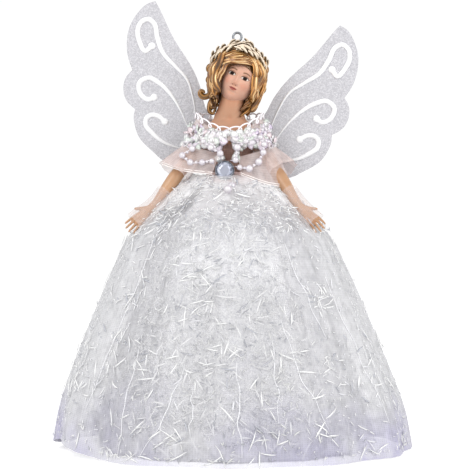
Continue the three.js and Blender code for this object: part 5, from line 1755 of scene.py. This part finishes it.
@dataclass
class Waist:
    """Sash, bodice and the short sheer flounce under the brooch."""

    sash_inner: float = 10.5
    sash_rise: float = 5.8
    bodice_foot: float = 6.3
    bodice_top: float = 20.5

    def sash(self) -> Skin:
        """A ribbon crushed to half its width: three folds run round it and drift up and down."""
        share, turn = round_grid(49, 240)
        folds = np.sin(3 * TAU * share + 0.9 * np.sin(3 * turn) + 0.5 * np.sin(7 * turn + 1))
        radius = self.sash_inner + 0.78 + 0.72 * folds + 0.06 * np.cos(53 * turn)
        grid = xyz(radius * np.cos(turn), radius * np.sin(turn), 0.9 + self.sash_rise * share)
        return Skin(grid, capped=False, size=(70, 10))

    def bodice(self) -> Skin:
        """The organza over the ribs, close to the chest."""
        share, turn = round_grid(24, 144)
        height = self.bodice_foot + (self.bodice_top - self.bodice_foot) * share
        return Skin(body.ring(height, turn, 0.55 + 0.12 * np.cos(31 * turn)), capped=False, size=(62, 14))

    def flounce(self) -> Skin:
        """A puffed upper tier: it stands out from the sash, arches, and comes down on the dome."""
        path = spline([(12, 4.6), (17, 5.4), (24, 1.6), (33, -5.4), (42, -14.5), (49.5, -22.5),
                       (55, -32.5)], 56)
        fall, turn = round_grid(56, 360)
        ruffle = fall * (1.0 - 0.45 * fall) * (
            0.9 * np.cos(17 * turn + 2 * np.sin(3 * turn)) + 0.5 * np.cos(29 * turn - 3 * fall))
        ahead = np.maximum(0, -np.sin(turn)) ** 3
        radius = path[:, :1] + ruffle
        dip = 6.3 * ahead * smooth(fall, 0.02, 0.2) * smooth(-fall, -0.75, -0.35)
        height = path[:, 1:] + 0.7 * ruffle - dip
        ragged = 0.72 + 0.12 * np.cos(7 * turn) + 0.08 * np.cos(19 * turn + 1)
        fade = (1 - smooth(fall, ragged - 0.5, ragged)) * (0.55 + 0.45 * smooth(fall, 0, 0.15))
        grid = xyz(radius * np.cos(turn), radius * np.sin(turn), height)
        return Skin(grid, capped=False, tint=veiled(fade), size=(250, 60))

    def build(self, shop: Workshop) -> None:
        """Makes the three cloth pieces of the waist."""
        shop.cloth("gathered_sash", self.sash(), blush_organza_dense, "blush_organza", Held.GATHERED,
                   ["organza_overskirt"], replaces=["waist_sash"])
        shop.cloth("sheer_bodice", self.bodice(), shaded_organza, "blush_organza", Held.STRETCHED,
                   ["painted_half_doll"], replaces=["organza_bodice"])
        tier = self.flounce()
        shop.cloth("puffed_tier", tier, puffed_organza, "organza", Held.GATHERED, ["organza_overskirt"])
        rng = np.random.default_rng(31)
        count = 1500
        row, column = rng.integers(5, 46, count), rng.integers(0, 359, count)
        spots = (tier.grid[row + i, column + j] for i, j in ((0, 0), (0, 1), (-1, 0)))
        specks = film(*spots, rng.uniform(0, TAU, count), (0.7, 5.0), 0.3, (0.08, 1.2), rng)
        shop.piece("tier_film_specks", specks, film_strands, "tinsel")


@dataclass
class Brooch:
    """A cut stone in a claw setting on the front of the sash."""

    radius: float = 4.9
    middle_x: float = -2.35
    middle_z: float = 7.4
    front: float = 12.2

    def place(self, points: Array) -> Array:
        """Takes (x, out, z) points of the brooch to the doll's frame, facing the front."""
        return points * np.array([1, -1, 1]) + np.array([self.middle_x, -self.front, self.middle_z])

    def lathe(self, profile: Points, sides: int) -> Array:
        """A profile turned about the brooch's own axis.

        Args:
            profile: Its (radius, out) pairs.
            sides: How many points go round.

        Returns:
            The grid.
        """
        radius, out = np.asarray(profile, float).T[..., None]
        angle = round_angles(sides)
        return self.place(xyz(radius * np.cos(angle), out, radius * np.sin(angle)))

    def setting(self) -> list[Skin]:
        """A cup with a beaded rim and eight claws that reach over the stone."""
        skins = [Skin(self.lathe([
            (0.4, 0.0), (4.4, 0.0), (4.75, 0.25), (4.8, 1.2), (4.75, 1.7), (4.6, 1.85), (4.5, 1.7),
            (4.45, 1.0), (4.2, 0.8), (0.4, 0.75)], 64))]
        size = np.interp(np.linspace(0, 1, 14), [0, 0.7, 1], [0.4, 0.36, 0.18])
        for angle in round_angles(8) + TAU / 16:
            way = np.array([math.cos(angle), 0, math.sin(angle)])
            stops = [way * reach + BACK * out
                     for reach, out in ((4.7, 0.6), (4.75, 1.7), (4.4, 2.3), (3.95, 2.5))]
            skins.append(Skin(self.place(tube(spline(stops, 14), np.cross(way, BACK), size, size, 10))))
        return skins

    def stone(self) -> Skin:
        """Table, star, kite and girdle facets: rings of sixteen that step half a facet each."""
        rings = [(4.2, 1.25, 0.0), (4.3, 1.65, 0.0), (3.75, 2.25, 0.5), (2.9, 2.8, 0.0), (2.2, 3.05, 0.5)]
        grid = []
        for radius, out, shift in rings:
            angle = (np.arange(16) + shift) * TAU / 16
            grid.append(xyz(radius * np.cos(angle), out, radius * np.sin(angle)))
        rng = np.random.default_rng(8)
        # Each facet's grey, from near white to dark, is painted reflection; the table's paler grey likewise
        codes = ("#7f8698", "#9da3b5", "#b6bbcb", "#cdd2e2", "#eef0f8", "#5a6072")
        tint = np.array([plain_rgb(code) for code in codes])[rng.integers(0, len(codes), (5, 16))]
        tint[-1] = plain_rgb("#a6a9b8")
        return Skin(self.place(np.array(grid)), tint=tint)

    def build(self, shop: Workshop) -> None:
        """Makes the setting and the stone."""
        shop.piece("claw_setting", self.setting(), dark_setting, "silver_wire", replaces=["brooch_setting"])
        shop.piece("cut_stone", [self.stone()], cut_stone, "rhinestone", replaces=["brooch_gem"], flat=True)


@dataclass
class Pearls:
    """Knotted pearl strings: smooth beads with drilled ends on a soft thread."""

    bead: float = 1.6
    brooch: Brooch = field(default_factory=Brooch)

    def front_of(self, x: Array) -> Array:
        """How far in front of the body a bead at x hangs, curving back towards the shoulders."""
        return -16.3 * (1 - 0.22 * (x / 23.6) ** 2)

    def beside(self, angle: float) -> Array:
        """A point just outside the brooch in a direction."""
        away, turn = self.brooch.radius + 0.7, math.radians(angle)
        return self.brooch.place(np.array([away * math.cos(turn), 1.6, away * math.sin(turn)]))

    def string(self, places: Points, last: Array, sizes: Sequence[float]) -> list[Skin]:
        """Beads at their places, a thread through them to the brooch, and a knot in each gap.

        Args:
            places: Shares of the shoulders' half width across and of the torso's rise up.
            last: Where the thread ends.
            sizes: The beads' sizes as shares of the plain one.

        Returns:
            The beads, the thread and the knots.
        """
        across, up = np.asarray(places, float).T
        x = across * shoulder_half_width
        points = xyz(x, self.front_of(x), up * torso_rise)
        knots = np.vstack([points, last])
        return [
            *(Skin(ball(p, self.bead * s, 16, 24)) for p, s in zip(points, sizes)),
            Skin(tube(spline(knots, 12 * len(knots)), BACK, 0.3, 0.3, 8)),
            *(Skin(ball(p, 0.8, 10, 14)) for p in (points[1:] + points[:-1]) / 2)]

    def build(self, shop: Workshop) -> None:
        """Makes the two swags, the two inner strings and the drop."""
        left = [(-1.35, 0.5), (-1.71, 0.41), (-1.42, 0.314), (-0.99, 0.314), (-0.64, 0.33)]
        right = [(1.12, 0.657), (1.25, 0.56), (1.22, 0.45), (1.06, 0.32), (0.72, 0.228), (0.37, 0.243)]
        rows = [
            ("left_pearls", left, 160, (1, 1.04, 1.05, 1, 0.85), "left_pearl_swag", Side.LEFT),
            ("right_pearls", right, 20, (0.9, 0.95, 1.05, 1.2, 1.15, 0.9), "right_pearl_swag", Side.RIGHT),
            ("inner_left_string", [(-0.95, 0.6), (-0.68, 0.514), (-0.335, 0.433)], 110, (0.8, 1, 1.1),
             "inner_left_pearls", None),
            ("inner_right_string", [(0.6, 0.6), (0.28, 0.514), (0.22, 0.345)], 60, (0.9, 1.2, 1),
             "inner_right_pearls", None)]
        for name, places, angle, sizes, node, side in rows:
            string = shop.piece(name, self.string(places, self.beside(angle), sizes), pearl_lacquer, "pearl",
                                body=None if side else "doll", replaces=[node])
            if side:
                shop.follow_arm(string)
        low, high = shop.box("pearl_drop")
        upper = np.array([(low[0] + high[0]) / 2 + 1.2, high[1] - 2.9, high[2] - 1.8])
        lower = np.array([(low[0] + high[0]) / 2 - 0.7, low[1] + 3.2, low[2] + 4.2])
        thread = spline([self.beside(-80), upper, lower], 30)
        shop.piece("hanging_pearls", [
            Skin(ball(upper, 2.1, 16, 24)), Skin(ball(lower, 2.0, 16, 24)),
            Skin(tube(thread, BACK, 0.35, 0.35, 8))], pearl_lacquer, "pearl", replaces=["pearl_drop"])


@dataclass
class Wings:
    """The die-cut sheet keeps its CAD solids; the raised paint lines are made here."""

    reach: float = 59.0
    rise: float = 70.5
    tilt: float = 7.5
    plane: float = 13.2
    width: float = 2.5
    # Half a line's width where it starts
    root: float = 0.32
    lines: dict[str, Points] = field(default_factory=lambda: {
        "upper": [(.322, .199), (.373, .348), (.441, .468), (.568, .56), (.678, .638), (.742, .738),
                  (.792, .844), (.839, .865), (.898, .837), (.919, .774), (.895, .704), (.831, .634),
                  (.781, .677)],
        "middle": [(.381, .13), (.485, .27), (.576, .357), (.678, .42), (.773, .447), (.844, .404),
                   (.834, .338), (.746, .292), (.705, .312)],
        "lower": [(.363, -.028), (.466, -.02), (.585, .007), (.681, .057), (.746, .113), (.746, .156),
                  (.702, .186), (.644, .182), (.585, .149)]})

    def line(self, shares: Points, side: Side) -> list[Skin]:
        """A half-round bead of paint that swells from its thin root to a round drop.

        Args:
            shares: Its way, in shares of the wing's reach and rise.
            side: The wing's side.

        Returns:
            The bead and the drop.
        """
        out, up = np.asarray(shares, float).T
        path = spline(xyz(self.reach * side.value * out, 0, self.rise * up), 90)
        half = self.root + (self.width / 2 - self.root) * smooth(np.linspace(0, 1, 90), 0, 0.6)[:, None]
        angle = np.concatenate([np.linspace(0, 1, 11), [1.25, 1.5, 1.75]]) * math.pi
        across = unit(np.cross(np.gradient(path, axis=0), BACK))
        # The bead rises 0.8 mm off the sheet and sinks 0.06 mm into it
        raised = np.sin(angle) * np.where(np.sin(angle) > 0, 0.8, 0.06) * smooth(half, 0, 0.6)
        grid = carried(path, across, -BACK, half * np.cos(angle), raised)
        drop = ball(path[-1], (1.85, 0.85, 1.85), 12, 20)
        drop[..., 1] = np.minimum(drop[..., 1], 0.05)
        return [Skin(self.place(grid)), Skin(self.place(drop))]

    def place(self, points: Array) -> Array:
        """Tilts the wings' own plane and sets it behind the doll."""
        return points @ turn_matrix(Axis.Y, self.tilt).T + np.array([0, self.plane, 18.0])

    def build(self, shop: Workshop) -> None:
        """Dresses the sheet and lays the lines on it."""
        low, _ = shop.box("left_wing")
        self.plane = low[1] - 0.02
        for side in Side:
            shop.coat(f"{side.word}_wing", silver_glitter)
            for name, shares in self.lines.items():
                shop.piece(f"{side.word}_{name}_paint_line", self.line(shares, side), white_relief,
                           "white_relief", replaces=[f"{side.word}_{name}_scroll"])


@dataclass
class Studio:
    """Camera at the photograph's viewing angle, soft lamps, a pale floor and a white surround."""

    distance: float = 950.0
    view_width: float = 235.0
    middle: tuple[float, float] = (1.176, 106.5)
    sensor: float = 36.0
    sky: float = 0.66
    # What the camera sees on top of the light that the sky and the floor give
    sky_glow: float = 0.36
    floor_glow: float = 0.5

    def camera(self) -> None:
        """A long lens whose field is view_width wide at the middle of the angel."""
        data = bpy.data.cameras.new("view")
        data.sensor_width = self.sensor
        data.lens = self.sensor * self.distance / self.view_width
        data.clip_start, data.clip_end = 0.05, 30.0
        eye = bpy.data.objects.new("view", data)
        eye.location = (self.middle[0] * MM, -self.distance * MM, self.middle[1] * MM)
        eye.rotation_euler = (math.pi / 2, 0, 0)
        bpy.context.scene.collection.objects.link(eye)
        bpy.context.scene.camera = eye

    def lamp(self, name: str, place: Sequence[float], size: float, watts: float) -> None:
        """A square soft box that looks at the angel.

        Args:
            name: Its name.
            place: Where it stands, in metres.
            size: The length of its side in metres.
            watts: Its power.
        """
        data = bpy.data.lights.new(name, "AREA")
        data.size, data.energy = size, watts
        lamp = bpy.data.objects.new(name, data)
        lamp.location = place
        way = np.array(place) - np.array([0, 0, 0.1])
        lamp.rotation_euler = (
            math.acos(way[2] / float(np.linalg.norm(way))), 0, math.atan2(way[1], way[0]) + math.pi / 2)
        bpy.context.scene.collection.objects.link(lamp)

    def white_for_camera(self, tree: Tree, base: Node, glow: float) -> Node:
        """Adds a glow that only camera, glossy and transmitted rays see.

        Args:
            tree: The node tree.
            base: The shader that glows.
            glow: How strongly.

        Returns:
            The shader with its glow.
        """
        path = add_node(tree, "LightPath").outputs
        seen = path["Is Camera Ray"]
        for ray in ("Is Glossy Ray", "Is Transmission Ray"):
            seen = add_node(tree, "Math", {0: seen, 1: path[ray]}, operation="MAXIMUM")
        strength = add_node(tree, "Math", {0: seen, 1: glow}, operation="MULTIPLY")
        light = add_node(tree, "Emission", {"Color": "#ffffff", "Strength": strength})
        return add_node(tree, "AddShader", {0: base, 1: light})

    def floor(self) -> None:
        """A wide white floor that shows the angel's soft shadow."""
        mesh = bpy.data.meshes.new("floor")
        mesh.from_pydata([(-8, -8, 0), (8, -8, 0), (8, 8, 0), (-8, 8, 0)], [], [(0, 1, 2, 3)])
        floor = bpy.data.objects.new("floor", mesh)
        bpy.context.scene.collection.objects.link(floor)
        paint = bpy.data.materials.new("white_floor")
        paint.use_nodes = True
        tree = paint.node_tree
        tree.nodes.clear()
        matt = add_node(tree, "BsdfDiffuse", {"Color": (0.86, 0.86, 0.86, 1)})
        add_node(tree, "OutputMaterial", {"Surface": self.white_for_camera(tree, matt, self.floor_glow)})
        mesh.materials.append(paint)

    def world(self) -> None:
        """An even white sky, at full white where the camera sees it."""
        sky = bpy.data.worlds.new("sky")
        bpy.context.scene.world = sky
        sky.use_nodes = True
        tree = sky.node_tree
        tree.nodes.clear()
        even = add_node(tree, "Background", {"Color": "#ffffff", "Strength": self.sky})
        add_node(tree, "OutputWorld", {"Surface": self.white_for_camera(tree, even, self.sky_glow)})

    def build(self) -> None:
        """Sets up the whole studio."""
        scene = bpy.context.scene
        scene.view_settings.view_transform = "Standard"
        self.camera()
        self.world()
        self.floor()
        self.lamp("key", (-0.7, -0.9, 0.85), 0.7, 7.6)
        self.lamp("fill", (0.9, -0.8, 0.5), 0.9, 6.4)


def main() -> None:
    """Loads the frame and dresses the angel from the skirt up."""
    logging.basicConfig(level=logging.INFO, format="%(message)s")
    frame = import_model()
    Studio().build()
    shop = Workshop(frame)
    shop.coat("support_cone", rolled_board)
    left, right = Arm(Side.LEFT, 2, 17), Arm(Side.RIGHT, -3.5, 27)
    sleeves = (
        Sleeve(left, [(-23.5, -5, 20), (-16, -11.2, 18.6), (-5, -13.4, 15.5)],
               [(-33.5, -8, 10.6), (-24, -12.8, 7.4), (-8.5, -14.6, 5.4)]),
        Sleeve(right, [(23, -5, 20), (15, -11.2, 17), (4.5, -13.4, 14)],
               [(31, -12, -1), (20, -15.2, 0.2), (5.5, -14.6, 5.2)]))
    for part in (Skirt(), Face(), Hair(), Headband(), left, right, *sleeves, Collar(), Waist(), Brooch(),
                 Pearls(), Wings()):
        part.build(shop)


if __name__ == "__main__":
    main()
